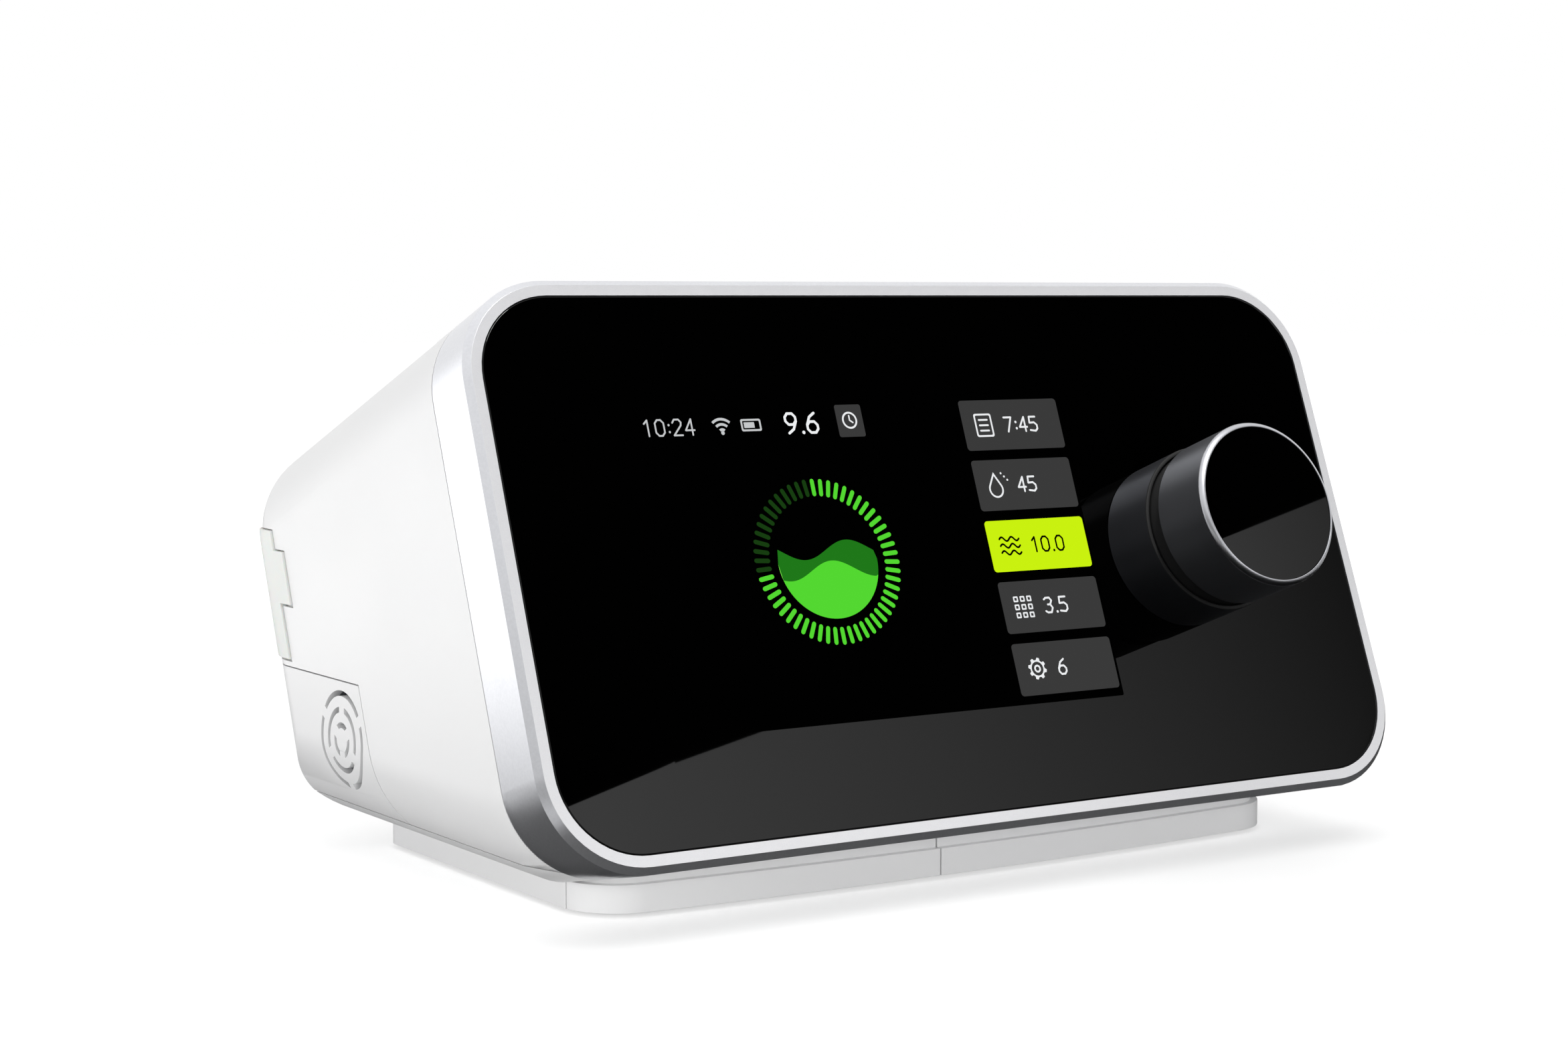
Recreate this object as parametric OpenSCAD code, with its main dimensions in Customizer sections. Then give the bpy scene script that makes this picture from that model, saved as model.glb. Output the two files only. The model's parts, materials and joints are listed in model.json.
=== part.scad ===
// Bedside breathing-air machine: a leaning glass front with a rotary push knob, a white
// housing on a low base, a blower inside and a pull-out water tank on the right side.
// Frame: +X to the right seen from the front, +Y to the back, +Z up. The floor is z = 0.
// Places on the front are given as u (right), v (up the panel) and h (out of the panel).

/* [Front panel] */
// Width of the front glass
glass_w = 210; // [196:1:224]
// Height of the front glass, along the panel
glass_h = 111.6; // [108:0.2:116]
// Corner radius of the front glass
glass_corner = 17; // [14:0.5:20]
// Thickness of the front glass
glass_t = 2; // [1.6:0.1:2.4]
// Width of the bright lip around the glass
lip_w = 2.3; // [1.8:0.1:3]
// Chamfer between the lip and the band
lip_chamfer = 1.35; // [0.8:0.05:1.8]
// Depth of the silver band behind the glass
band_d = 15.2; // [14.6:0.1:17]
// Lean of the front panel from upright, in degrees
panel_tilt = 20.75; // [19:0.25:22]
// Place of the glass centre along Y
panel_y = -55; // [-56:0.5:-54]
// Height of the front's lower edge over the housing's underside
front_lift = 5.93; // [5.5:0.01:6.5]

/* [Housing] */
// Depth from the glass to the rear face, square to the panel
body_depth = 118; // [116:0.5:124]
// Wall of the moulded shells
wall = 2.4; // [2:0.1:2.8]
// Rounding around the rear face
rear_round = 13; // [10:0.5:14]
// Rounding along the two lower side edges
under_round = 20; // [17:0.5:21]
// Rounding along the lower rear edge
heel_round = 18; // [14:0.5:20]
// Fall of the underside behind the front edge, in degrees
front_fall = 12; // [10:0.5:14]
// Height of the lower shell's visible edge over the underside
chassis_edge = 5; // [4:0.5:6]
// Shadow gap between neighbouring shells
seam = 0.3; // [0.2:0.05:0.4]

/* [Base] */
// Height of the base plate's face
base_h = 5.7; // [5:0.1:7]
// Width of the base plate
base_w = 179; // [172:1:184]
// Depth of the base plate at its sides
base_d = 92.2; // [86:0.2:96]
// Rear end of the base plate
base_rear_y = 37.7; // [36:0.1:39]
// Forward bulge of the base's front edge
base_bulge = 4; // [2:0.5:6]
// Radius of the base plate's front corners
base_corner_r = 13; // [9:0.5:15]
// Radius of the base plate's rear corners
base_rear_r = 4; // [3:0.5:8]
// Step from the plate's edge in to the neck
neck_inset = 1.6; // [1:0.1:3]
// Place of the seam in the base's front edge
base_split_x = -8.6; // [-20:0.2:10]
// Depth of the base's separate front corner piece
base_cap_d = 10.4; // [8:0.2:12]
// How far the rubber feet stand out
foot_rise = 0.6; // [0.4:0.1:1.5]
// Radius of a rubber foot
foot_r = 7; // [5:0.5:8]
// Distance of the feet from the base's sides
foot_side = 13.5; // [13:0.5:18]

/* [Knob] */
// Place of the knob to the right of the glass centre
knob_u = 56.4; // [54:0.2:60]
// Place of the knob above the glass centre
knob_v = -2.6; // [-8:0.2:8]
// Radius of the fixed collar under the knob
collar_r = 18.3; // [17:0.1:20]
// Height of the collar
collar_h = 13.7; // [12:0.1:14.5]
// Radius of the knob's metal ring
ring_r = 18; // [16.8:0.1:18.3]
// Height of the knob's top over the glass
knob_h = 31.8; // [30:0.2:36]
// Height of the dark groove between the collar and the ring
groove_h = 3.5; // [2.6:0.1:4.5]
// Travel of the knob when pushed
push_travel = 0.8; // [0.4:0.1:1]
// Radius of the encoder's shaft
shaft_r = 3; // [2.5:0.1:3.2]

/* [Display] */
// Width of the lit picture
screen_w = 108; // [100:1:112]
// Height of the lit picture
screen_h = 66; // [60:1:68]
// Place of the display to the right of the glass centre
screen_u = -22; // [-26:0.5:-20]

/* [Air filter] */
// Top edge of the filter cover over the floor
cover_top_z = 39.9; // [38.5:0.1:41]
// Distance of the cover's front edge behind the glass
cover_front_h = 70.9; // [69:0.1:72]
// How far the cover reaches around the rear face, from the middle
cover_wrap_x = 80; // [78:0.5:84]
// Place of the grille's centre along Y
grille_y = 18.5; // [18:0.1:20]
// Height of the grille's centre
grille_z = 27.4; // [27:0.1:28]
// Radius of the grille's outer ring of slots
grille_r = 10; // [8:0.1:10.5]
// Width of a grille slot
slot_w = 1.2; // [0.8:0.05:1.5]
// How far the cover is drawn off its seat
cover_pull = 15; // [8:1:20]

/* [Port flap] */
// Lower edge of the flap over the floor
flap_z0 = 41.8; // [41.4:0.1:43]
// Upper edge of the flap over the floor
flap_z1 = 69.2; // [66:0.1:71]
// How far the flap stands out of the housing
flap_proud = 0.6; // [0.4:0.05:0.9]
// Thickness of the flap
flap_t = 1.6; // [1.2:0.1:1.8]
// Distance of the flap's hinge line from the middle
flap_hinge_x = 80; // [78:0.5:82]

/* [Water tank] */
// Width of the tank along Y, with its running gap
bay_w = 71; // [66:0.5:71]
// Place of the tank's centre along Y
bay_y = 5; // [4:0.5:6]
// Height of the tank's tub
tub_h = 32; // [28:0.5:33]
// Height of the tank's lid
lid_h = 10.8; // [10:0.2:12]
// Wall of the tub and its lid
tub_wall = 1.8; // [1.4:0.1:2.2]
// Inner end of the tank bay
bay_x0 = 10; // [8:0.5:12]
// Depth of the hollow grip in the tank's face
grip_d = 8; // [6:0.5:10]
// Distance of each air port from the tank's centre line
port_dy = 23; // [21:0.5:24]
// Travel of the tank when it is drawn out
tank_pull = 100; // [60:5:110]

/* [Blower] */
// Place of the blower's axis along X
blower_x = -50; // [-52:0.5:-48]
// Radius of the fan wheel
wheel_r = 27; // [24:0.5:28]
// Number of blades on the fan wheel
blades = 11; // [7:1:13]
// Height of the spiral casing
scroll_h = 16; // [14:0.5:18]
// Radius of the motor's can
can_r = 21; // [18:0.5:22]
// Height of the motor's can
can_h = 24; // [20:0.5:26]

/* [Air outlet] */
// Radius of the hose spigot
spigot_r = 11; // [10:0.1:11.5]
// How far the spigot stands out behind the rear face
spigot_len = 21.6; // [18:0.2:26]
// Place of the spigot along X
spigot_x = -3; // [-6:0.5:-3]

/* [Hidden] */
$fn = 96;

far = 400;            // longer than anything, for cutting blocks
fit = 0.05;           // radial play of screws, threads and the turning shaft
play = 0.2;           // running gap of pieces that slide

// Body outline
rim = lip_w + lip_chamfer;
body_w = glass_w + 2*rim;
body_h = glass_h + 2*rim;
body_corner = glass_corner + rim;
base_top = foot_rise + base_h;
underside_z = base_top + seam;
floor_z = underside_z + wall;
chassis_top = underside_z + chassis_edge;
inner_x = body_w/2 - wall;
panel_z = underside_z + front_lift + body_h/2*cos(panel_tilt) + lip_chamfer*sin(panel_tilt);

// Points of the side view: [y, z] of a place v up the panel and h out of it
function panel_yz(v, h) = [panel_y + v*sin(panel_tilt) - h*cos(panel_tilt),
                           panel_z + v*cos(panel_tilt) + h*sin(panel_tilt)];
// Rear face at height z, and how much the falling underside takes off the panel's height
function rear_y(z) = panel_y + (z - panel_z)*tan(panel_tilt) + body_depth/cos(panel_tilt);
function under_rise(depth) = (depth - lip_chamfer)*tan(panel_tilt - front_fall);

front_edge = panel_yz(-body_h/2, -lip_chamfer);
heel = [panel_y + (underside_z + heel_round - panel_z)*tan(panel_tilt)
        + (body_depth - heel_round)/cos(panel_tilt), underside_z + heel_round];

// Depths behind the glass
ledge_t = 1.5;
ledge_w = 1.5;
ledge_back = glass_t + ledge_t;
gasket_t = 0.8;
cell_t = 1.8;
tray_t = 3;
cell_front = glass_t + gasket_t;
tray_back = cell_front + cell_t + tray_t;
carrier_t = 2;
carrier_front = tray_back + 0.1;
carrier_back = carrier_front + carrier_t;
pcb_t = 1.6;
board_gap = 3.5;
board_front = carrier_back + board_gap;
carrier_gap = 0.4;
screen_border = 4;

// Base
base_front_y = base_rear_y - base_d;
foot_x = base_w/2 - foot_side;
foot_front_y = base_front_y + base_cap_d + foot_r + 3.1;
foot_rear_y = base_rear_y - foot_r - 3.7;
foot_spots = [for (x = [-foot_x, foot_x], y = [foot_front_y, foot_rear_y]) [x, y]];
foot_pocket = 2.4;
head_r = 2.8;
head_h = 1.9;
screw_r = 1.25;
pad_r = 5.5;
pad_top = floor_z + 3.6;
boss_r = 4;
boss_top = floor_z + 13.5;

// Water tank, from the floor up
bay_wall = 2;
bay_z0 = floor_z + 16;
bay_floor = bay_z0 + bay_wall;
runner_h = 1;
tub_z0 = bay_floor + play + runner_h;
seal_t = 0.8;
lid_z0 = tub_z0 + tub_h + seal_t;
duct_z = lid_z0 + lid_h/2;
bay_top = lid_z0 + lid_h + 1.2;
bay_x1 = inner_x - play;
tub_w = bay_w - 6*play;
tub_x0 = bay_x0 + bay_wall + 2;
face_gap = 0.4;
tub_x1 = inner_x - grip_d - 1.25;
grip_w = 40;
grip_h = lid_h - 1.8;
port_r = 4.5;
seal_w = 0.9;
heater_x = (tub_x0 + tub_x1)/2;
heater_w = [56, 46];

// Ducts
duct_r = 9.5;
duct_wall = 1.9;
duct_bore = duct_r - duct_wall;
blower_duct_y = bay_y - port_dy;
outlet_y = bay_y + port_dy;

// Blower
scroll_wall = 1.8;
scroll_r0 = wheel_r + 2.5;
scroll_growth = 10.5;
channel_w = 14;
blower_y = blower_duct_y + scroll_r0 + scroll_growth - channel_w/2;
scroll_z0 = duct_z - scroll_h/2;
can_z0 = scroll_z0 - can_h;
collar_z = scroll_z0 + scroll_h;
inlet_r = 12;
inlet_rise = 3;
foam_h = 9.5;
mount_h = 8;
mount_r = 4.5;
mount_ring = 34;
mount_angles = [45, 135, 270];
axle_r = 2.5;
bearing_r = 6;
bearing_h = 4;
wheel_z0 = scroll_z0 + 3;
wheel_h = scroll_h - 6.5;

// Boards
board_z = bay_top + bay_wall + 5;
board_size = [78, 56];
board_at = [bay_x0 + 4, bay_y - 23];

// ---------- shared shapes ----------

// Puts children in the front panel's own frame: u right, v up the panel, h outwards
module on_panel() translate([0, panel_y, panel_z]) rotate([90 - panel_tilt, 0, 0]) children();

// Flat rounded rectangle, centred
module round_rect(w, h, r) {
  square([w - 2*r, h], center = true);
  square([w, h - 2*r], center = true);
  for (x = [-1, 1], y = [-1, 1]) translate([x*(w/2 - r), y*(h/2 - r)]) circle(r);
}

// Rounded plate between two heights
module plate(w, h, r, z0, z1) translate([0, 0, z0]) linear_extrude(height = z1 - z0) round_rect(w, h, r);

// Rounded plate whose edge is chamfered all the way round, from 0 down to -c
module chamfered_plate(w, h, r, c) {
  trapezium = [-1, 1];
  for (x = trapezium, y = trapezium)
    translate([x*(w/2 - r), y*(h/2 - r), -c]) cylinder(h = c, r1 = r, r2 = r - c);
  rotate([90, 0, 0]) linear_extrude(height = h - 2*r, center = true)
    polygon([[-w/2, -c], [w/2, -c], [w/2 - c, 0], [-w/2 + c, 0]]);
  rotate([90, 0, 90]) linear_extrude(height = w - 2*r, center = true)
    polygon([[-h/2, -c], [h/2, -c], [h/2 - c, 0], [-h/2 + c, 0]]);
}

// Half section of the housing from its open front to its filleted rear
module rear_profile(half, fillet, rear, front) {
  translate([-half, -rear + fillet]) square([2*half, rear - fillet + front]);
  translate([-half + fillet, -rear]) square([2*(half - fillet), rear + front]);
  for (s = [-1, 1]) translate([s*(half - fillet), -rear + fillet]) circle(fillet);
}

// Rounded block along the panel's normal whose rear edge is filleted all the way round
module filleted_block(hw, hh, r, rear, fillet, front) {
  for (x = [-1, 1], y = [-1, 1]) translate([x*(hw - r), y*(hh - r), 0])
    rotate_extrude() intersection() {
      rear_profile(r, fillet, rear, front);
      translate([0, -rear - 1]) square([r + 1, rear + front + 2]);
    }
  rotate([0, -90, 0]) rotate([0, 0, -90]) linear_extrude(height = 2*(hw - r), center = true)
    rear_profile(hh, fillet, rear, front);
  rotate([90, 0, 0]) linear_extrude(height = 2*(hh - r), center = true)
    rear_profile(hw, fillet, rear, front);
}

// Endless bar from front to back with rounded lower edges; its underside passes [y, z] and falls back
module hull_bar(at, fall, grow) {
  r = under_round + grow + (fall > 0 ? -1.5 : 0);
  w = body_w + 2*grow;
  translate([0, at[0], at[1]]) rotate([-fall, 0, 0]) rotate([90, 0, 0])
    linear_extrude(height = 2*far, center = true) translate([0, -grow]) {
      translate([-w/2, r]) square([w, far/2]);
      translate([-w/2 + r, 0]) square([w - 2*r, far/2]);
      for (s = [-1, 1]) translate([s*(w/2 - r), r]) circle(r);
    }
}

// Side view of the housing's rear face and rounded lower rear edge, as a wide bar
module heel_bar(grow) {
  r = heel_round + grow;
  back = [cos(panel_tilt), -sin(panel_tilt)];
  up = [sin(panel_tilt), cos(panel_tilt)];
  touch = heel + r*back;
  rotate([90, 0, 90]) linear_extrude(height = far, center = true) {
    translate(heel) circle(r);
    polygon([[heel[0], heel[1] - r], heel, touch, touch + far*up, [-far, far], [-far, heel[1] - r]]);
  }
}

// The whole outer form, grown outwards by a distance; its open front lies at h = front
module body_form(grow, front = -lip_chamfer) intersection() {
  on_panel() filleted_block(body_w/2 + grow, body_h/2 + grow, body_corner + grow,
                            body_depth + grow, rear_round + grow, front);
  hull_bar([0, underside_z], 0, grow);
  hull_bar(front_edge, front_fall, grow);
  heel_bar(grow);
}

// Cutting blocks: a layer between two depths behind the glass, and one between two heights
module depth_layer(h0, h1) on_panel() translate([-far, -far, h0]) cube([2*far, 2*far, h1 - h0]);
module height_layer(z0, z1) translate([-far, -far, z0]) cube([2*far, 2*far, z1 - z0]);

// Round tube along +Z
module tube(r, bore, length) difference() {
  cylinder(h = length, r = r);
  translate([0, 0, -1]) cylinder(h = length + 2, r = bore);
}

// Turns children so that their +Z runs along +X, or along +Y
module along_x() rotate([0, 90, 0]) children();
module along_y() rotate([-90, 0, 0]) children();

// ---------- front ----------

boss_u = inner_x - 3.2;
boss_v = 30;
boss_back = carrier_front - 0.1;

module carrier_spots() for (x = [-boss_u, boss_u], y = [-boss_v, boss_v]) translate([x, y, 0]) children();

// Silver frame: the band, its chamfered lip and the ledge behind the glass
module front_bezel() color([0.78, 0.79, 0.81]) {
  glass_gap = 0.1;
  difference() {
    union() {
      intersection() {
        body_form(0);
        depth_layer(-band_d, 0);
      }
      on_panel() chamfered_plate(body_w, body_h, body_corner, lip_chamfer);
    }
    intersection() {
      body_form(-wall, -ledge_back);
      depth_layer(-far, -ledge_back);
    }
    on_panel() plate(glass_w + 2*glass_gap, glass_h + 2*glass_gap, glass_corner + glass_gap, -glass_t, 1);
    on_panel() plate(glass_w - 2*ledge_w, glass_h - 2*ledge_w, glass_corner - ledge_w,
                     -ledge_back - 1, -glass_t + 1);
  }
  band_tabs();
  on_panel() carrier_spots() difference() {
    translate([0, 0, -boss_back]) cylinder(h = boss_back - glass_t - 0.2, r = 2.6);
    translate([0, 0, -boss_back - 1]) cylinder(h = boss_back - glass_t - 0.4, r = screw_r + fit);
  }
}

// Stepped tabs inside the band that reach behind the housing's front edge
module band_tabs() {
  tab_w = 16;
  reach = 4;
  side_v = 30;
  shape = [[0.2, 3, 0], [-seam/2, 1, -reach]];
  on_panel() for (s = shape) {
    for (u = [-70, -20, 30, 80])
      translate([u - tab_w/2, body_h/2 - wall - 1.4, -band_d + s[2]]) cube([tab_w, 1.4 + s[0], s[1] - s[2]]);
    for (x = [0, 1], v = [-side_v, side_v]) mirror([x, 0, 0])
      translate([body_w/2 - wall - 1.4, v - tab_w/2, -band_d + s[2]]) cube([1.4 + s[0], tab_w, s[1] - s[2]]);
  }
}

// One-piece front glass with the hole for the knob's bushing
module front_glass() color([0.02, 0.02, 0.02]) on_panel() difference() {
  plate(glass_w, glass_h, glass_corner, -glass_t, 0);
  translate([knob_u, knob_v, -glass_t - 1]) cylinder(h = glass_t + 2, r = bushing_r + 1);
}

// Foam frame between the glass and the display
module display_gasket() color([0.1, 0.1, 0.1]) on_panel() translate([screen_u, 0, 0]) difference() {
  plate(screen_w + 2*screen_border, screen_h + 2*screen_border, 1, -cell_front, -glass_t);
  plate(screen_w, screen_h, 1, -cell_front - 1, -glass_t + 1);
}

// Glass cell of the display
module lcd_panel() color([0.08, 0.1, 0.12]) on_panel() translate([screen_u, 0, 0])
  plate(screen_w + 2*screen_border, screen_h + 2*screen_border, 1, -cell_front - cell_t, -cell_front);

// Pressed tray that holds the display's cell and backlight
module lcd_tray() color([0.7, 0.71, 0.72]) on_panel() translate([screen_u, 0, 0]) difference() {
  grow = 2*screen_border + 4;
  plate(screen_w + grow, screen_h + grow, 2, -tray_back, -cell_front - 0.2);
  plate(screen_w + grow - 3.6, screen_h + grow - 3.6, 1, -cell_front - cell_t, 1);
}

// Inner frame that carries the display and the control board
module front_carrier() color([0.25, 0.26, 0.27]) {
  w = 2*(inner_x - carrier_gap);
  h = body_h - 2*wall - 2*under_rise(carrier_back) - 2*carrier_gap;
  r = body_corner - wall - carrier_gap;
  rim_t = 1.2;
  on_panel() difference() {
    union() {
      plate(w, h, r, -carrier_back, -carrier_front);
      difference() {
        plate(w, h, r, -carrier_back, -ledge_back - 0.1);
        plate(w - 2*rim_t, h - 2*rim_t, r - rim_t, -far, far);
      }
      board_spots() translate([0, 0, -board_front]) cylinder(h = board_front - carrier_front, r = 3.2);
    }
    carrier_spots() {
      translate([0, 0, -carrier_front]) cylinder(h = far, r = 2.6 + carrier_gap);
      translate([0, 0, -carrier_back - 1]) cylinder(h = far, r = screw_r + 2*fit);
    }
    translate([knob_u, knob_v, -far]) cylinder(h = far, r = encoder_w*0.75);
    translate([screen_u, 0, 0]) plate(screen_w - 28, screen_h - 24, 4, -far, 0);
    board_spots() translate([0, 0, -board_front - 1]) cylinder(h = board_gap, r = 1.1);
  }
}

// Screws that hold the carrier to the silver frame
module carrier_screws() color([0.6, 0.61, 0.63]) on_panel() carrier_spots() {
  translate([0, 0, -carrier_back - head_h]) cylinder(h = head_h, r = 2.4);
  translate([0, 0, -carrier_back - 0.5]) cylinder(h = carrier_back - ledge_back - 1, r = screw_r);
}

board_u = 5;
board_v = -4;
board_wh = [148, 68];
board_edge = 5;

module board_spots() for (x = [-1, 1], y = [-1, 1])
  translate([board_u + x*(board_wh[0]/2 - board_edge), board_v + y*(board_wh[1]/2 - board_edge), 0]) children();

// Circuit board behind the display
module control_board() color([0.05, 0.3, 0.16]) on_panel() difference() {
  translate([board_u, board_v, 0]) plate(board_wh[0], board_wh[1], 2, -board_front - pcb_t, -board_front);
  board_spots() translate([0, 0, -board_front - pcb_t - 1]) cylinder(h = pcb_t + 2, r = 1.1);
}

// Connectors and chips on the rear of the control board: [u, v, width, height, thickness]
module control_parts() color([0.12, 0.12, 0.13]) on_panel() {
  parts = [[-40, -16, 20, 20, 1.6], [-8, -20, 10, 10, 1.4], [12, -22, 14, 6, 2.4],
           [36, -24, 8, 8, 1.4], [-62, -26, 6, 16, 2.6]];
  for (p = parts) translate([p[0], p[1], -board_front - pcb_t - p[4]])
    translate([-p[2]/2, -p[3]/2, 0]) cube([p[2], p[3], p[4]]);
}

// ---------- knob ----------

encoder_w = 14;
bushing_r = 4.5;
encoder_top = 6.7;
plunger_top = 8.6;
plunger_r = 3.2;
collar_floor = 2.6;
nut_h = 2;
bushing_top = collar_floor + nut_h + 0.6;
groove_z = collar_h + groove_h;
neck_r = collar_r - 1.25;
cap_r = ring_r - 1.15;
core_r = ring_r - 2;
cap_t = 1.2;
ring_chamfer = 0.9;

module at_knob() on_panel() translate([knob_u, knob_v, 0]) children();

// Body and threaded bushing of the rotary encoder
module encoder_body() color([0.55, 0.56, 0.58]) at_knob() difference() {
  union() {
    translate([-encoder_w/2, -encoder_w/2, -board_front]) cube([encoder_w, encoder_w, board_front - encoder_top]);
    translate([0, 0, -encoder_top - 1]) cylinder(h = encoder_top + 1 + bushing_top, r = bushing_r);
  }
  translate([0, 0, -plunger_top]) cylinder(h = far, r = shaft_r + fit);
  translate([0, 0, -board_front + 0.6]) cylinder(h = board_front - 0.6 - plunger_top + 0.6, r = plunger_r + 0.4);
}

// Hexagon nut that clamps the encoder and the collar to the glass
module encoder_nut() color([0.7, 0.71, 0.72]) at_knob() translate([0, 0, collar_floor]) difference() {
  cylinder(h = nut_h, r = bushing_r + 2, $fn = 6);
  translate([0, 0, -1]) cylinder(h = nut_h + 2, r = bushing_r + fit);
}

// Switch plunger under the shaft; it moves in with a push but doesn't turn
module encoder_plunger() color([0.85, 0.85, 0.85]) at_knob() {
  translate([0, 0, -plunger_top - 1.4]) cylinder(h = 1.35, r = plunger_r);
  translate([0, 0, -board_front + 0.6 + push_travel + 0.2])
    cylinder(h = board_front - plunger_top - push_travel - 1.6, r = 1.5);
}

// Shaft of the encoder, flattened where the knob grips it
module encoder_shaft() color([0.75, 0.76, 0.78]) at_knob() difference() {
  translate([0, 0, -plunger_top]) cylinder(h = plunger_top + groove_z + 8, r = shaft_r);
  translate([shaft_r*0.5, -shaft_r, bushing_top + 2]) cube([shaft_r, 2*shaft_r, far]);
}

// Fixed dark collar that the knob's neck dips into
module knob_collar() color([0.1, 0.1, 0.11]) at_knob() difference() {
  union() {
    cylinder(h = collar_h - 0.4, r = collar_r);
    translate([0, 0, collar_h - 0.4]) cylinder(h = 0.4, r1 = collar_r, r2 = collar_r - 0.4);
  }
  translate([0, 0, collar_floor]) cylinder(h = collar_h, r = neck_r + seam);
  translate([0, 0, -1]) cylinder(h = collar_floor + 2, r = bushing_r + 2*fit);
}

// Inner part of the knob: hub, neck and the spigot that carries the ring
module knob_core() color([0.05, 0.05, 0.055]) at_knob() difference() {
  union() {
    translate([0, 0, groove_z - 6]) cylinder(h = 6, r = neck_r);
    translate([0, 0, groove_z]) cylinder(h = knob_h - cap_t - groove_z - 0.1, r = core_r);
    translate([0, 0, bushing_top + push_travel + 0.6]) cylinder(h = groove_z - bushing_top, r = 5.5);
  }
  difference() {
    translate([0, 0, groove_z - 7]) cylinder(h = 12, r = neck_r - 2);
    translate([0, 0, 0]) cylinder(h = far, r = 5.5);
  }
  difference() {
    cylinder(h = groove_z + 8 + fit, r = shaft_r + fit/2);
    translate([shaft_r*0.5 + fit, -shaft_r, bushing_top + 2]) cube([shaft_r, 2*shaft_r, far]);
  }
}

// Metal ring of the knob with its bright chamfered edge
module knob_ring() color([0.32, 0.33, 0.35]) at_knob() difference() {
  union() {
    translate([0, 0, groove_z]) cylinder(h = knob_h - groove_z - ring_chamfer, r = ring_r);
    translate([0, 0, knob_h - ring_chamfer]) cylinder(h = ring_chamfer, r1 = ring_r, r2 = ring_r - ring_chamfer);
  }
  translate([0, 0, groove_z - 1]) cylinder(h = far, r = core_r + fit);
  translate([0, 0, knob_h - cap_t - 0.1]) cylinder(h = far, r = cap_r + fit);
}

// Glossy black disc in the knob's end
module knob_cap() color([0.02, 0.02, 0.02]) at_knob()
  translate([0, 0, knob_h - cap_t - 0.05]) cylinder(h = cap_t - 0.15, r = cap_r);

// ---------- housing ----------

// Region of the filter cover in the shell, grown by a distance
module cover_zone(grow) intersection() {
  depth_layer(-far, -cover_front_h + grow);
  translate([-far - cover_wrap_x + grow, -far, chassis_top + seam - grow])
    cube([far, 2*far, cover_top_z - chassis_top - seam + 2*grow]);
}

// Region of the port flap: three steps of its front edge down the side, [z0, z1, depth behind the glass]
flap_steps = [[flap_z0, 53.7, 102.6], [53.7, 65, 97.5], [65, flap_z1, 102]];

module flap_zone(grow) for (s = flap_steps) intersection() {
  depth_layer(-far, -s[2] + grow);
  translate([-far - flap_hinge_x + grow, -far, s[0] - 2*grow]) cube([far, 2*far, s[1] - s[0] + 3*grow]);
}

// Card slot in the rear face, under the flap
slot_u = -88;
slot_v = 31;
slot_size = [2.6, 22];

// Round places of the rear face that let the sockets out
socket_u = 72;
socket_v = 7;
socket_r = 5.4;

module foot_places() for (p = foot_spots) translate([p[0], p[1], 0]) children();

// White upper shell
module main_housing() color([0.94, 0.94, 0.94]) {
  difference() {
    intersection() {
      body_form(0);
      depth_layer(-far, -band_d - seam);
      height_layer(chassis_top + seam, far);
    }
    body_form(-wall, 5);
    cover_zone(seam);
    intersection() {
      difference() {
        body_form(2);
        body_form(flap_proud - flap_t - seam, 5);
      }
      flap_zone(seam);
    }
    translate([0, bay_y - bay_w/2, bay_floor]) cube([far, bay_w, bay_top - bay_floor]);
    translate([spigot_x, 0, duct_z]) along_y() cylinder(h = far, r = spigot_r + seam);
    on_panel() translate([socket_u, socket_v, -far]) cylinder(h = far, r = socket_r + fit);
    on_panel() translate([slot_u - slot_size[0]/2 - 0.4, slot_v - slot_size[1]/2 - 0.4, -far])
      cube([slot_size[0] + 0.8, slot_size[1] + 0.8, far]);
  }
  intersection() {
    body_form(-wall/2);
    difference() {
      union() {
        foot_places() translate([0, 0, pad_top + play]) cylinder(h = boss_top - pad_top, r = boss_r);
        boss_ribs();
      }
      foot_places() cylinder(h = boss_top - 2, r = screw_r + fit);
    }
  }
}

// Ribs that tie the screw bosses to the walls: the front ones to the sides, the rear ones to the back
module boss_ribs() {
  z = pad_top + play;
  for (x = [0, 1]) mirror([x, 0, 0]) {
    translate([foot_x + boss_r - 1, foot_front_y - 1, z]) cube([far, 2, boss_top - pad_top]);
    translate([foot_x, foot_rear_y, z]) rotate([0, 0, 30]) translate([-3, 0, 0])
      cube([2, far, boss_top - pad_top]);
  }
}

// Post that grows out of the lower shell's floor
module post(top, r) translate([0, 0, floor_z - wall/4]) cylinder(h = top - floor_z + wall/4, r = r);

// Lower shell: a tray with the posts that carry the blower and the tank bay
module bottom_chassis() color([0.96, 0.96, 0.96]) difference() {
  union() {
    difference() {
      intersection() {
        body_form(0);
        depth_layer(-far, -band_d - seam);
        height_layer(0, chassis_top);
      }
      body_form(-wall, 5);
    }
    foot_places() post(pad_top, pad_r);
    blower_places() post(scroll_z0 - mount_h, boss_r);
    bay_places() post(bay_z0, boss_r);
  }
  foot_places() cylinder(h = far, r = screw_r + 2*fit);
}

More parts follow.
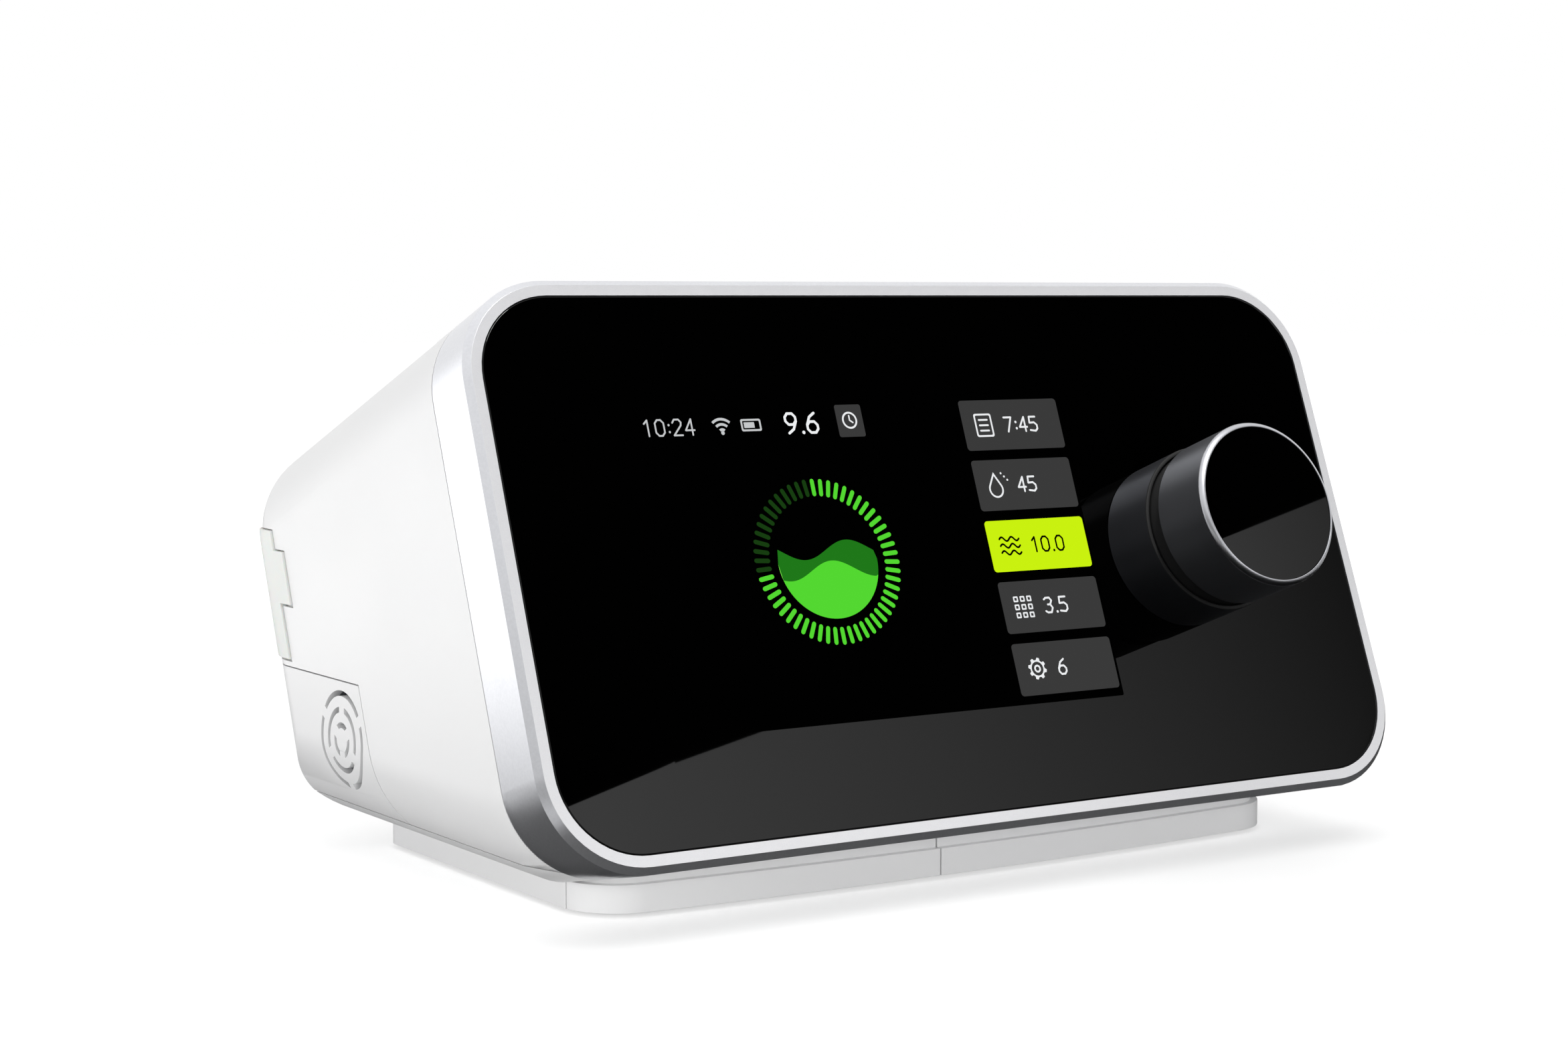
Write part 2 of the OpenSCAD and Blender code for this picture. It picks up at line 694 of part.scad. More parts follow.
// Plan of the base: straight sides, small rear corners and a bowed front that runs into the front corners
module base_plan(inset) {
  w = base_w/2 - inset;
  r = base_corner_r - inset;
  rear_r = base_rear_r - inset;
  rear = base_rear_y - inset;
  bow = (base_w*base_w/4 + base_bulge*base_bulge)/(2*base_bulge) - inset;
  bow_y = base_front_y - base_bulge + inset + bow;
  corner_y = bow_y - sqrt((bow - r)*(bow - r) - (w - r)*(w - r));
  touch_x = (w - r)*bow/(bow - r);
  intersection() {
    translate([0, bow_y]) circle(bow, $fn = 720);
    translate([-touch_x, corner_y - 2*r]) square([2*touch_x, 3*r]);
  }
  for (s = [-1, 1]) {
    translate([s*(w - r), corner_y]) circle(r);
    translate([s*(w - rear_r), rear - rear_r]) circle(rear_r);
  }
  translate([-w, corner_y]) square([2*w, rear - rear_r - corner_y]);
  translate([-w + rear_r, corner_y]) square([2*(w - rear_r), rear - corner_y]);
}

// The split-off front left piece of the base
module cap_region(grow) translate([-far + base_split_x + grow, -far, -1])
  cube([far, far + base_front_y + base_cap_d + grow, far]);

// Flat base plate with its set-in neck
module base_shape() difference() {
  union() {
    translate([0, 0, foot_rise]) linear_extrude(height = base_h) base_plan(0);
    translate([0, 0, foot_rise]) linear_extrude(height = 4*base_h) base_plan(neck_inset);
  }
  intersection() {
    height_layer(underside_z, far);
    translate([-far, front_edge[0], front_edge[1]]) rotate([-front_fall, 0, 0])
      translate([0, -far, 0]) cube([2*far, 2*far, far]);
  }
}

module base_plate() color([0.93, 0.93, 0.94]) difference() {
  base_shape();
  cap_region(seam/2);
  foot_places() {
    translate([0, 0, -1]) cylinder(h = 1 + foot_rise + foot_pocket, r = foot_r + play);
    cylinder(h = foot_rise + foot_pocket + head_h + 0.3, r = head_r + play);
    cylinder(h = far, r = screw_r + 2*fit);
  }
}

module base_corner() color([0.95, 0.95, 0.95]) intersection() {
  base_shape();
  cap_region(-seam/2);
}

module rubber_feet() color([0.2, 0.2, 0.21]) foot_places() {
  cylinder(h = 0.5, r1 = foot_r - 0.5, r2 = foot_r);
  translate([0, 0, 0.5]) cylinder(h = foot_rise + foot_pocket - 0.5, r = foot_r);
}

// Long screws from the base through the lower shell into the housing
module chassis_screws() color([0.6, 0.61, 0.63]) foot_places() {
  translate([0, 0, foot_rise + foot_pocket + 0.2]) cylinder(h = head_h, r = head_r);
  translate([0, 0, foot_rise + foot_pocket + 0.2]) cylinder(h = boss_top - foot_rise - foot_pocket - 3, r = screw_r);
}

// ---------- air filter ----------

filter_wh = [24, 24];
filter_t = 5;
filter_x0 = -inner_x + 3.8;
frame_wall = 1.5;

// Arc slots of one ring: three arcs with spokes between them
module slot_ring(r, turn) difference() {
  circle(r + slot_w/2);
  circle(r - slot_w/2);
  for (a = [0, 120, 240]) rotate(turn + a) translate([0, -slot_w]) square([r + slot_w, 2*slot_w]);
}

// Cover over the air filter, with the round grille and two spring tabs
module filter_cover() color([0.93, 0.93, 0.94]) {
  difference() {
    intersection() {
      body_form(0);
      cover_zone(0);
    }
    body_form(-wall, 5);
    translate([-far, grille_y, grille_z]) along_x() rotate([0, 0, 90]) linear_extrude(height = far - body_w/2 + 10) {
      slot_ring(grille_r, 30);
      slot_ring(grille_r*0.65, 90);
      slot_ring(grille_r*0.32, 30);
    }
  }
  cover_tabs(0);
}

// Two spring tabs at the cover's top edge, grown by a distance
module cover_tabs(grow) intersection() {
  body_form(-wall/2);
  for (y = [grille_y + 19, grille_y + 30])
    translate([-inner_x - wall/2 - grow, y - grow, cover_top_z - 4 - grow])
      cube([6 + 2*grow, 4 + 2*grow, 1.6 + 2*grow]);
}

// Pad of filter fleece behind the grille
module air_filter() color([0.8, 0.82, 0.84])
  translate([filter_x0, grille_y - filter_wh[0]/2, grille_z + 1 - filter_wh[1]/2])
    cube([filter_t, filter_wh[0], filter_wh[1]]);

// Inner wall behind the cover with the filter's pocket and the air hole
module filter_frame() color([0.88, 0.88, 0.89]) difference() {
  intersection() {
    body_form(-wall - seam, 5);
    height_layer(chassis_top + 2.4, far);
    union() {
      difference() {
        cover_zone(2.4);
        body_form(-wall - seam - 1.4, 5);
      }
      translate([-inner_x, grille_y - filter_wh[0]/2 - frame_wall, chassis_top])
        cube([3.8 + filter_t + frame_wall, filter_wh[0] + 2*frame_wall, cover_top_z - chassis_top + 3]);
    }
  }
  translate([filter_x0 - 20, grille_y - filter_wh[0]/2 - play/2, grille_z + 1 - filter_wh[1]/2 - play/2])
    cube([20 + filter_t, filter_wh[0] + play, filter_wh[1] + play]);
  translate([filter_x0, grille_y, grille_z + 1]) along_x() cylinder(h = 30, r = 8);
  cover_tabs(seam);
}

// ---------- rear ----------

// Soft flap over the card slot, moulded to the housing's corner
module port_flap() color([0.93, 0.93, 0.91]) intersection() {
  difference() {
    body_form(flap_proud);
    body_form(flap_proud - flap_t, 5);
  }
  flap_zone(0);
}

// Card reader behind the slot
module card_reader() color([0.3, 0.31, 0.32]) on_panel() difference() {
  translate([slot_u - 5, slot_v - slot_size[1]/2 - 2, -body_depth + wall + 0.1]) cube([10, slot_size[1] + 4, 20]);
  translate([slot_u - slot_size[0]/2, slot_v - slot_size[1]/2, -body_depth]) cube([slot_size[0], slot_size[1], 18]);
}

// Barrel socket for the power supply's plug
module power_socket() color([0.08, 0.08, 0.08]) on_panel() translate([socket_u, socket_v, -body_depth]) difference() {
  union() {
    cylinder(h = 12, r = socket_r);
    translate([0, 0, wall + 0.1]) cylinder(h = 3, r = socket_r + 2);
  }
  translate([0, 0, -1]) cylinder(h = 11, r = 3.2);
}

module power_pin() color([0.8, 0.78, 0.6]) on_panel() translate([socket_u, socket_v, -body_depth + 1.5])
  cylinder(h = 8.5, r = 1);

// Spigot for the air hose
module air_outlet() color([0.9, 0.9, 0.91]) {
  start = outlet_y + 22;
  free = rear_y(duct_z + spigot_r) + 0.5 - start;
  length = rear_y(duct_z) + spigot_len - start;
  translate([spigot_x, start, duct_z]) along_y() difference() {
    union() {
      cylinder(h = free, r = spigot_r - 0.4);
      translate([0, 0, free]) cylinder(h = length - free - 1, r = spigot_r);
      translate([0, 0, length - 1]) cylinder(h = 1, r1 = spigot_r, r2 = spigot_r - 0.7);
      cylinder(h = 2.5, r = spigot_r + 2);
    }
    translate([0, 0, -1]) cylinder(h = length + 2, r = spigot_r - 2.6);
  }
}

// Elbow from the tank bay to the hose spigot
module outlet_elbow() color([0.15, 0.15, 0.16]) translate([spigot_x, outlet_y, duct_z]) difference() {
  union() {
    along_x() cylinder(h = bay_x0 - spigot_x, r = duct_r);
    along_y() cylinder(h = 22, r = duct_r);
    sphere(duct_r);
  }
  along_x() cylinder(h = far, r = duct_bore);
  along_y() cylinder(h = far, r = duct_bore);
  sphere(duct_bore);
}

// ---------- blower ----------

module at_blower(z) translate([blower_x, blower_y, z]) children();
module blower_places() at_blower(0) for (a = mount_angles)
  translate([mount_ring*cos(a), mount_ring*sin(a), 0]) children();

// Plan of the spiral casing and its straight outlet channel, grown by a distance
tongue = 300;
step = 6;
function scroll_point(a, grow) = (scroll_r0 + scroll_growth*a/330 + grow)*[cos(tongue + a), sin(tongue + a)];
channel_len = 28;

module scroll_plan(grow) {
  polygon([for (a = [0:step:330]) scroll_point(a, grow)]);
  translate([0, -scroll_r0 - scroll_growth - grow]) square([channel_len + grow, channel_w + 2*grow]);
  circle(scroll_r0 + grow);
}

// Spiral casing of the blower with its round outlet
module blower_scroll() color([0.86, 0.87, 0.88]) {
  at_blower(scroll_z0) difference() {
    union() {
      linear_extrude(height = scroll_h - scroll_wall - 0.1) scroll_plan(scroll_wall);
      for (a = mount_angles) translate([mount_ring*cos(a), mount_ring*sin(a), 0]) cylinder(h = scroll_wall, r = 5);
      translate([channel_len + scroll_wall, blower_duct_y - blower_y, scroll_h/2]) along_x()
        cylinder(h = 11, r = duct_bore - 0.1);
    }
    translate([0, 0, scroll_wall]) linear_extrude(height = scroll_h) scroll_plan(0);
    translate([0, 0, -1]) cylinder(h = 4, r = bearing_r + 1);
    translate([channel_len - 6, blower_duct_y - blower_y, scroll_h/2]) along_x() cylinder(h = 30, r = scroll_h/2 - 2.4);
  }
}

// Lid of the spiral casing with the inlet collar
module blower_cover() color([0.86, 0.87, 0.88]) at_blower(collar_z - scroll_wall) difference() {
  union() {
    linear_extrude(height = scroll_wall) scroll_plan(scroll_wall);
    cylinder(h = scroll_wall + inlet_rise, r = inlet_r + 2);
  }
  translate([0, 0, -1]) cylinder(h = far, r = inlet_r);
}

// Fan wheel with backward-curved blades
module impeller() color([0.93, 0.93, 0.94]) at_blower(wheel_z0) difference() {
  union() {
    cylinder(h = 1.2, r = wheel_r);
    cylinder(h = wheel_h - 1, r1 = 9, r2 = 5);
    translate([0, 0, 0.6]) linear_extrude(height = wheel_h - 0.6) blade_ring();
  }
  translate([0, 0, -1]) cylinder(h = far, r = axle_r);
}

// Each blade is an arc from the hub to the rim, swept back against the turn
module blade_ring() intersection() {
  circle(wheel_r - 0.2);
  difference() {
    for (i = [0:blades - 1]) rotate(i*360/blades) translate([0, wheel_r*0.62]) difference() {
      circle(wheel_r*0.62);
      circle(wheel_r*0.62 - 0.9);
      translate([-far, -wheel_r]) square([far, 3*wheel_r]);
      translate([-1, -wheel_r]) square([far, wheel_r*0.62]);
    }
    circle(10);
  }
}

module motor_shaft() color([0.75, 0.76, 0.78]) at_blower(can_z0 + 2)
  cylinder(h = wheel_z0 + wheel_h - can_z0 - 2.5, r = axle_r);

module rotor_magnet() color([0.3, 0.3, 0.32]) at_blower(can_z0 + 6.5) tube(11, axle_r, can_h - 13);

// Ring of wound poles around the rotor
module motor_stator() color([0.72, 0.42, 0.22]) at_blower(can_z0 + 5) difference() {
  cylinder(h = can_h - 10, r = can_r - 1.3);
  translate([0, 0, -1]) cylinder(h = can_h, r = 11.6);
  for (i = [0:8]) rotate(i*40) translate([15, 0, -1]) cylinder(h = can_h, r = 1.8);
}

// Motor can with seats for the two bearings
module motor_can() color([0.62, 0.63, 0.65]) at_blower(can_z0) difference() {
  cylinder(h = can_h, r = can_r);
  translate([0, 0, 1.5]) cylinder(h = can_h - 3, r = can_r - 1.2);
  translate([0, 0, -1]) cylinder(h = can_h + 2, r = bearing_r);
}

module motor_bearings() color([0.7, 0.71, 0.73]) at_blower(0)
  for (z = [can_z0 + 0.1, scroll_z0 - bearing_h - 0.1]) translate([0, 0, z]) tube(bearing_r - 0.02, axle_r + fit, bearing_h);

module blower_mounts() color([0.12, 0.12, 0.12]) blower_places() translate([0, 0, scroll_z0 - mount_h]) {
  cylinder(h = mount_h/2, r1 = mount_r, r2 = mount_r - 1);
  translate([0, 0, mount_h/2]) cylinder(h = mount_h/2, r1 = mount_r - 1, r2 = mount_r);
}

// Foam block that quietens the intake
module inlet_foam() color([0.35, 0.36, 0.38]) at_blower(collar_z + inlet_rise + play) difference() {
  translate([-scroll_r0 - 8.5, -scroll_r0 - 4.5, 0]) cube([2*scroll_r0 + 15, 2*scroll_r0 + 9, foam_h]);
  translate([0, 0, -1]) cylinder(h = foam_h + 2, r = inlet_r + 1);
  translate([-2*scroll_r0, 2 - inlet_r, 3]) cube([2*scroll_r0, 2*(inlet_r - 2), foam_h - 6]);
}

// Rubber sleeve from the blower to the tank bay
module blower_duct() color([0.15, 0.15, 0.16]) translate([blower_x + channel_len + 4, blower_duct_y, duct_z])
  along_x() tube(duct_r, duct_bore, bay_x0 - blower_x - channel_len - 4);

module flow_sensor() color([0.1, 0.12, 0.14]) translate([-8, blower_duct_y - 5, duct_z + duct_r + play/2]) {
  cube([13, 10, 1.6]);
  translate([2, 2, 1.6]) cube([8, 6, 3]);
}

// ---------- water tank ----------

module bay_places() for (x = [tub_x0 + 6, tub_x1 - 6], y = [-1, 1])
  translate([x, bay_y + y*(bay_w/2 - 4), 0]) children();

module port_places(x) for (y = [-port_dy, port_dy]) translate([x, bay_y + y, duct_z]) along_x() children();

// Open box that guides the tank and keeps the heater in its floor
module tank_bay() color([0.86, 0.86, 0.87]) difference() {
  translate([bay_x0, bay_y - bay_w/2 - bay_wall, bay_z0])
    cube([bay_x1 - bay_x0, bay_w + 2*bay_wall, bay_top - bay_z0 + bay_wall]);
  translate([bay_x0 + bay_wall, bay_y - bay_w/2, bay_floor]) cube([far, bay_w, bay_top - bay_floor]);
  translate([heater_x - heater_w[0]/2 - 0.5, bay_y - heater_w[1]/2 - 0.5, 0]) cube([heater_w[0] + 1, heater_w[1] + 1, bay_floor + 1]);
  port_places(0) cylinder(h = bay_x0 + 4, r = port_r + 1);
}

module heater_plate() color([0.75, 0.76, 0.78])
  translate([heater_x - heater_w[0]/2, bay_y - heater_w[1]/2, bay_z0]) cube([heater_w[0], heater_w[1], tub_z0 - bay_z0 - seam]);

module heater_pad() color([0.75, 0.4, 0.25])
  translate([heater_x - heater_w[0]/2 - 2, bay_y - heater_w[1]/2 - 2, bay_z0 - 2]) cube([heater_w[0] + 4, heater_w[1] + 4, 2]);

module duct_seals() color([0.2, 0.2, 0.22]) port_places(bay_x0 + bay_wall)
  tube(port_r + 1 + seal_w, port_r + 1, tub_x0 - bay_x0 - bay_wall - play);

// Clear tub with runners and the face that closes the bay
module water_tank() color([0.75, 0.8, 0.84, 0.5]) {
  y0 = bay_y - tub_w/2;
  face_w = bay_w - 2*face_gap;
  difference() {
    translate([tub_x0, y0, tub_z0]) cube([tub_x1 - tub_x0, tub_w, tub_h]);
    translate([tub_x0 + tub_wall, y0 + tub_wall, tub_z0 + tub_wall])
      cube([tub_x1 - tub_x0 - 2*tub_wall, tub_w - 2*tub_wall, tub_h]);
    translate([heater_x - heater_w[0]/2 + 2, bay_y - heater_w[1]/2 + 2, 0]) cube([heater_w[0] - 4, heater_w[1] - 4, tub_z0 + 3]);
  }
  for (y = [y0, y0 + tub_w - 2]) {
    translate([tub_x0, y, tub_z0 - runner_h]) cube([tub_x1 - tub_x0, 2, runner_h]);
    translate([tub_x1, y, tub_z0]) cube([inner_x - tub_x1, 2, bay_top - tub_z0 - 1]);
  }
  translate([tub_x1, y0, tub_z0]) cube([inner_x - tub_x1, tub_w, 2]);
  difference() {
    union() {
      translate([inner_x, bay_y, (bay_floor + bay_top)/2]) rotate([90, 0, 90])
        plate(face_w, bay_top - bay_floor - 2*face_gap, 2, 0, wall);
      translate([inner_x - grip_d - 1, bay_y - grip_w/2 - 1.5, lid_z0 - 1]) cube([grip_d + 1, grip_w + 3, grip_h + 3]);
    }
    translate([inner_x - grip_d + 0.5, bay_y - grip_w/2, lid_z0 + 0.5]) cube([grip_d + 5, grip_w, grip_h]);
  }
}

// Metal plate in the tub's floor that takes the heat
module tank_base() color([0.8, 0.81, 0.83])
  translate([heater_x - heater_w[0]/2 + 2 + fit, bay_y - heater_w[1]/2 + 2 + fit, tub_z0])
    cube([heater_w[0] - 4 - 2*fit, heater_w[1] - 4 - 2*fit, tub_wall]);

module lid_plan(inset) translate([tub_x0 + inset, bay_y - tub_w/2 + inset])
  square([tub_x1 - tub_x0 - 2*inset, tub_w - 2*inset]);

module tank_seal() color([0.3, 0.3, 0.32]) translate([0, 0, tub_z0 + tub_h]) linear_extrude(height = seal_t)
  difference() {
    lid_plan(0.2);
    lid_plan(tub_wall + 0.6);
  }

// Domed lid with the two air ports in its inner end
module tank_lid() color([0.75, 0.8, 0.84, 0.5]) difference() {
  translate([0, 0, lid_z0]) linear_extrude(height = lid_h) lid_plan(0);
  translate([0, 0, lid_z0 - 1]) linear_extrude(height = lid_h + 1 - tub_wall) lid_plan(tub_wall);
  port_places(0) cylinder(h = tub_x0 + 5, r = port_r);
}

// ---------- electronics ----------

module board_posts() for (x = [4, board_size[0] - 4], y = [4, board_size[1] - 4])
  translate([board_at[0] + x, board_at[1] + y, 0]) children();

// Main circuit board on four posts over the tank bay
module main_board() color([0.05, 0.3, 0.16]) {
  translate([board_at[0], board_at[1], board_z]) cube([board_size[0], board_size[1], pcb_t]);
  board_posts() translate([0, 0, bay_top + bay_wall]) cylinder(h = board_z - bay_top - bay_wall + 0.5, r = 2.6);
}

// Parts on the main board: boxes [x, y, w, d, h] and cans [x, y, r, h]
module board_parts() color([0.14, 0.14, 0.15]) translate([board_at[0], board_at[1], board_z + pcb_t]) {
  boxes = [[8, 6, 16, 16, 1.6], [30, 8, 10, 10, 1.4], [46, 4, 22, 6, 7], [10, 32, 12, 12, 6], [52, 34, 12, 8, 2]];
  cans = [[34, 30, 5, 9], [46, 24, 4, 8], [66, 22, 3.2, 7]];
  for (b = boxes) translate([b[0], b[1], 0]) cube([b[2], b[3], b[4]]);
  for (c = cans) translate([c[0], c[1], 0]) cylinder(h = c[3], r = c[2]);
}

// Flat cable from the control board to the main board
module ribbon_cable() color([0.85, 0.86, 0.88]) {
  start = panel_yz(board_v + board_wh[1]/2 - 8, -board_front - pcb_t);
  goal = [board_at[1] + 1, board_z + pcb_t];
  t = 0.5;
  translate([board_at[0] + board_size[0]/2 + 1, 0, 0]) rotate([90, 0, 90]) linear_extrude(height = 20)
    polygon([start, start + [2, -1], goal + [-3, t], goal + [2.8, t], goal + [2.8, 0],
             goal + [-3, 0] - [0.3, 0], start + [1.6, -2.2], start + [-0.2, -1.2]]);
}

front_bezel();
front_glass();
display_gasket();
lcd_panel();
lcd_tray();
front_carrier();
carrier_screws();
control_board();
control_parts();
encoder_body();
encoder_nut();
encoder_plunger();
encoder_shaft();
knob_collar();
knob_core();
knob_ring();
knob_cap();
main_housing();
bottom_chassis();
base_plate();
base_corner();
rubber_feet();
chassis_screws();
filter_cover();
air_filter();
filter_frame();
port_flap();
card_reader();
power_socket();
power_pin();
blower_scroll();
blower_cover();
impeller();
motor_shaft();
rotor_magnet();
motor_stator();
motor_can();
motor_bearings();
blower_mounts();
inlet_foam();
blower_duct();
flow_sensor();
outlet_elbow();
air_outlet();
tank_bay();
heater_plate();
heater_pad();
duct_seals();
water_tank();
tank_base();
tank_seal();
tank_lid();
main_board();
board_parts();
ribbon_cable();
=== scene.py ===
import json
import math

import bmesh
import bpy
from mathutils import Matrix, Vector
from mathutils.geometry import delaunay_2d_cdt


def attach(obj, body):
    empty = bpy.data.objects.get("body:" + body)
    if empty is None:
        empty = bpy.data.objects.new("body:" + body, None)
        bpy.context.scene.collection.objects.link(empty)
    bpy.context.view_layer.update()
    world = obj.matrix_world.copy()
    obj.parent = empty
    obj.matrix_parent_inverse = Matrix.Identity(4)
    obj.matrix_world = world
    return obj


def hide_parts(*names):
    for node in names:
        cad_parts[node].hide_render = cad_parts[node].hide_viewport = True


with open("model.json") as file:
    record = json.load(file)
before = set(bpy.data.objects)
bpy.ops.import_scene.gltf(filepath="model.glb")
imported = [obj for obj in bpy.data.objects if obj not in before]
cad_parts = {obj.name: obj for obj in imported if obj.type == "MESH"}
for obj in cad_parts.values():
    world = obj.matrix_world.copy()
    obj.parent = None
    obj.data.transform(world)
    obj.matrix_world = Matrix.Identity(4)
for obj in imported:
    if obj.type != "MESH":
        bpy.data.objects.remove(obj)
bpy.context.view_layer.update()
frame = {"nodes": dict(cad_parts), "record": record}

MM = 0.001
LEAN = math.radians(20.75)
GLASS_CENTRE = Vector((0, -55, 68.6))
UP_PANEL = Vector((0, math.sin(LEAN), math.cos(LEAN)))
OUT_OF_PANEL = Vector((0, -math.cos(LEAN), math.sin(LEAN)))
KNOB_CENTRE = (56.4, -2.6)
GLASS_HALF_W, GLASS_HALF_H, GLASS_CORNER = 105, 55.8, 17
DISPLAY_WINDOW = (-76.6, -34.6, 32.9, 33.6)
SHARP_ANGLE = 32


def on_panel(u, v, h):
    """A place on the leaning front, in metres: u right, v up the panel, h out of it, all in mm."""
    return (GLASS_CENTRE + Vector((u, 0, 0)) + UP_PANEL * v + OUT_OF_PANEL * h) * MM


# ---------- camera ----------

def add_camera():
    """The photograph's viewpoint: left of the machine, a little above it, with a long lens."""
    viewpoint = (-0.35038, -0.52291, 0.12087)
    forward = Vector((0.54435, 0.83496, -0.08141)).normalized()
    right = forward.cross(Vector((0, 0, 1))).normalized()
    up = right.cross(forward)
    data = bpy.data.cameras.new("camera")
    data.sensor_fit = "HORIZONTAL"
    data.sensor_width = 36
    data.lens = 64.43
    data.clip_start = 0.01
    camera = bpy.data.objects.new("camera", data)
    bpy.context.scene.collection.objects.link(camera)
    turn = Matrix((right, up, -forward)).transposed().to_4x4()
    camera.matrix_world = Matrix.Translation(viewpoint) @ turn
    bpy.context.scene.camera = camera


# ---------- materials ----------

def linear(r, g, b):
    """A colour written as it shows on a screen, 0 to 255, as the shader wants it."""
    shown = [c / 255 for c in (r, g, b)]
    return tuple(c / 12.92 if c <= 0.04045 else ((c + 0.055) / 1.055) ** 2.4 for c in shown) + (1.0,)


class Finish:
    """One material with its nodes: a shader, and the patterns that vary its colour, gloss and surface."""

    def __init__(self, name, colour, rough, metallic=0.0, **sockets):
        self.material = bpy.data.materials.new(name)
        self.material.use_nodes = True
        self.nodes = self.material.node_tree.nodes
        self.links = self.material.node_tree.links
        self.shader = self.nodes["Principled BSDF"]
        self.colour = colour
        self.shader.inputs["Base Color"].default_value = colour
        self.shader.inputs["Roughness"].default_value = rough
        self.shader.inputs["Metallic"].default_value = metallic
        for socket, value in sockets.items():
            self.shader.inputs[socket.replace("_", " ")].default_value = value
        self.place = self.nodes.new("ShaderNodeTexCoord").outputs["Object"]
        self.height = None

    def stretched(self, scale, turn=(0, 0, 0)):
        mapping = self.nodes.new("ShaderNodeMapping")
        mapping.inputs["Scale"].default_value = scale
        mapping.inputs["Rotation"].default_value = turn
        self.links.new(self.place, mapping.inputs["Vector"])
        return mapping.outputs["Vector"]

    def noise(self, scale, detail, place=None, rough=0.5):
        node = self.nodes.new("ShaderNodeTexNoise")
        node.inputs["Scale"].default_value = scale
        node.inputs["Detail"].default_value = detail
        node.inputs["Roughness"].default_value = rough
        self.links.new(place or self.place, node.inputs["Vector"])
        return node.outputs["Fac"]

    def tint(self, pattern, other, low=0.35, high=0.65):
        """Mixes the base colour with another where the pattern is high."""
        ramp = self.nodes.new("ShaderNodeValToRGB")
        ramp.color_ramp.elements[0].position = low
        ramp.color_ramp.elements[1].position = high
        ramp.color_ramp.elements[0].color = self.colour
        ramp.color_ramp.elements[1].color = other
        self.links.new(pattern, ramp.inputs["Fac"])
        self.links.new(ramp.outputs["Color"], self.shader.inputs["Base Color"])
        return self

    def gloss_patches(self, pattern, low, high):
        """Lets the roughness wander between two values."""
        spread = self.nodes.new("ShaderNodeMapRange")
        spread.inputs["From Min"].default_value = 0.3
        spread.inputs["From Max"].default_value = 0.7
        spread.inputs["To Min"].default_value = low
        spread.inputs["To Max"].default_value = high
        self.links.new(pattern, spread.inputs["Value"])
        self.links.new(spread.outputs["Result"], self.shader.inputs["Roughness"])
        return self

    def relief(self, pattern, depth, strength):
        """Adds a small height pattern, in metres, to the surface."""
        bump = self.nodes.new("ShaderNodeBump")
        bump.inputs["Strength"].default_value = strength
        bump.inputs["Distance"].default_value = depth
        self.links.new(pattern, bump.inputs["Height"])
        if self.height is not None:
            self.links.new(self.height, bump.inputs["Normal"])
        self.height = bump.outputs["Normal"]
        self.links.new(self.height, self.shader.inputs["Normal"])
        return self


def moulded(name, tone, rough=0.32, cool=0, grain=1.0):
    """Moulded plastic: a fine even grain, slow waves in the gloss and a faint drift of tone."""
    finish = Finish(name, linear(tone, tone, min(255, tone + cool)), rough, Specular_IOR_Level=0.5)
    finish.tint(finish.noise(9, 3), linear(tone - 4, tone - 4, tone - 3 + cool), 0.3, 0.75)
    finish.gloss_patches(finish.noise(35, 4), rough - 0.04, rough + 0.05)
    finish.relief(finish.noise(2600, 2), 0.00001 * grain, 0.25)
    finish.relief(finish.noise(60, 1), 0.00003, 0.12)
    return finish.material


def brushed(name, colour, rough, stretch=(60, 60, 4000)):
    """Metal with fine lines left by the tool."""
    finish = Finish(name, colour, rough, 1.0)
    lines = finish.noise(1.0, 3, finish.stretched(stretch))
    finish.gloss_patches(lines, rough * 0.8, rough * 1.25)
    finish.relief(lines, 0.00001, 0.35)
    finish.tint(finish.noise(40, 3), tuple(0.9 * c for c in colour[:3]) + (1.0,))
    return finish.material


def rubbery(name, tone, rough, colour=None):
    """Rubber: dull, with a fine grain and slightly paler rubbed places."""
    colour = colour or linear(tone, tone, tone + 1)
    finish = Finish(name, colour, rough, Specular_IOR_Level=0.35)
    pale = tuple(min(1.0, 1.35 * c + 0.01) for c in colour[:3]) + (1.0,)
    finish.tint(finish.noise(160, 4), pale, 0.45, 0.85)
    finish.relief(finish.noise(2400, 3), 0.00002, 0.5)
    return finish.material


def lit(name, r, g, b):
    """A colour of the display's picture, which glows by itself under the glass."""
    finish = Finish(name, linear(r * 0.12, g * 0.12, b * 0.12), 0.12, 0.0, Specular_IOR_Level=0.0)
    finish.shader.inputs["Emission Color"].default_value = linear(r, g, b)
    finish.shader.inputs["Emission Strength"].default_value = 1.0
    finish.gloss_patches(finish.noise(30, 3), 0.1, 0.16)
    return finish.material


def plastics(m):
    """The moulded plastics, white outside and mostly darker inside."""
    m["housing_white"] = moulded("housing_white", 244)
    m["chassis_white"] = moulded("chassis_white", 249, 0.36)
    m["base_white"] = moulded("base_white", 250, 0.4)
    m["cover_white"] = moulded("cover_white", 241, 0.34)
    m["outlet_white"] = moulded("outlet_white", 236, 0.35, 1)
    m["inner_white"] = moulded("inner_white", 226, 0.5, 2, 2.0)
    m["blower_plastic"] = moulded("blower_plastic", 222, 0.45, 2, 2.0)
    m["fan_plastic"] = moulded("fan_plastic", 238, 0.35, 1)
    m["plunger"] = moulded("plunger", 226, 0.3)
    m["carrier"] = moulded("carrier", 70, 0.5, 2, 2.0)
    m["reader"] = moulded("reader", 48, 0.45)
    m["socket_black"] = moulded("socket_black", 24, 0.35)
    m["cable_grey"] = moulded("cable_grey", 205, 0.4, 3)


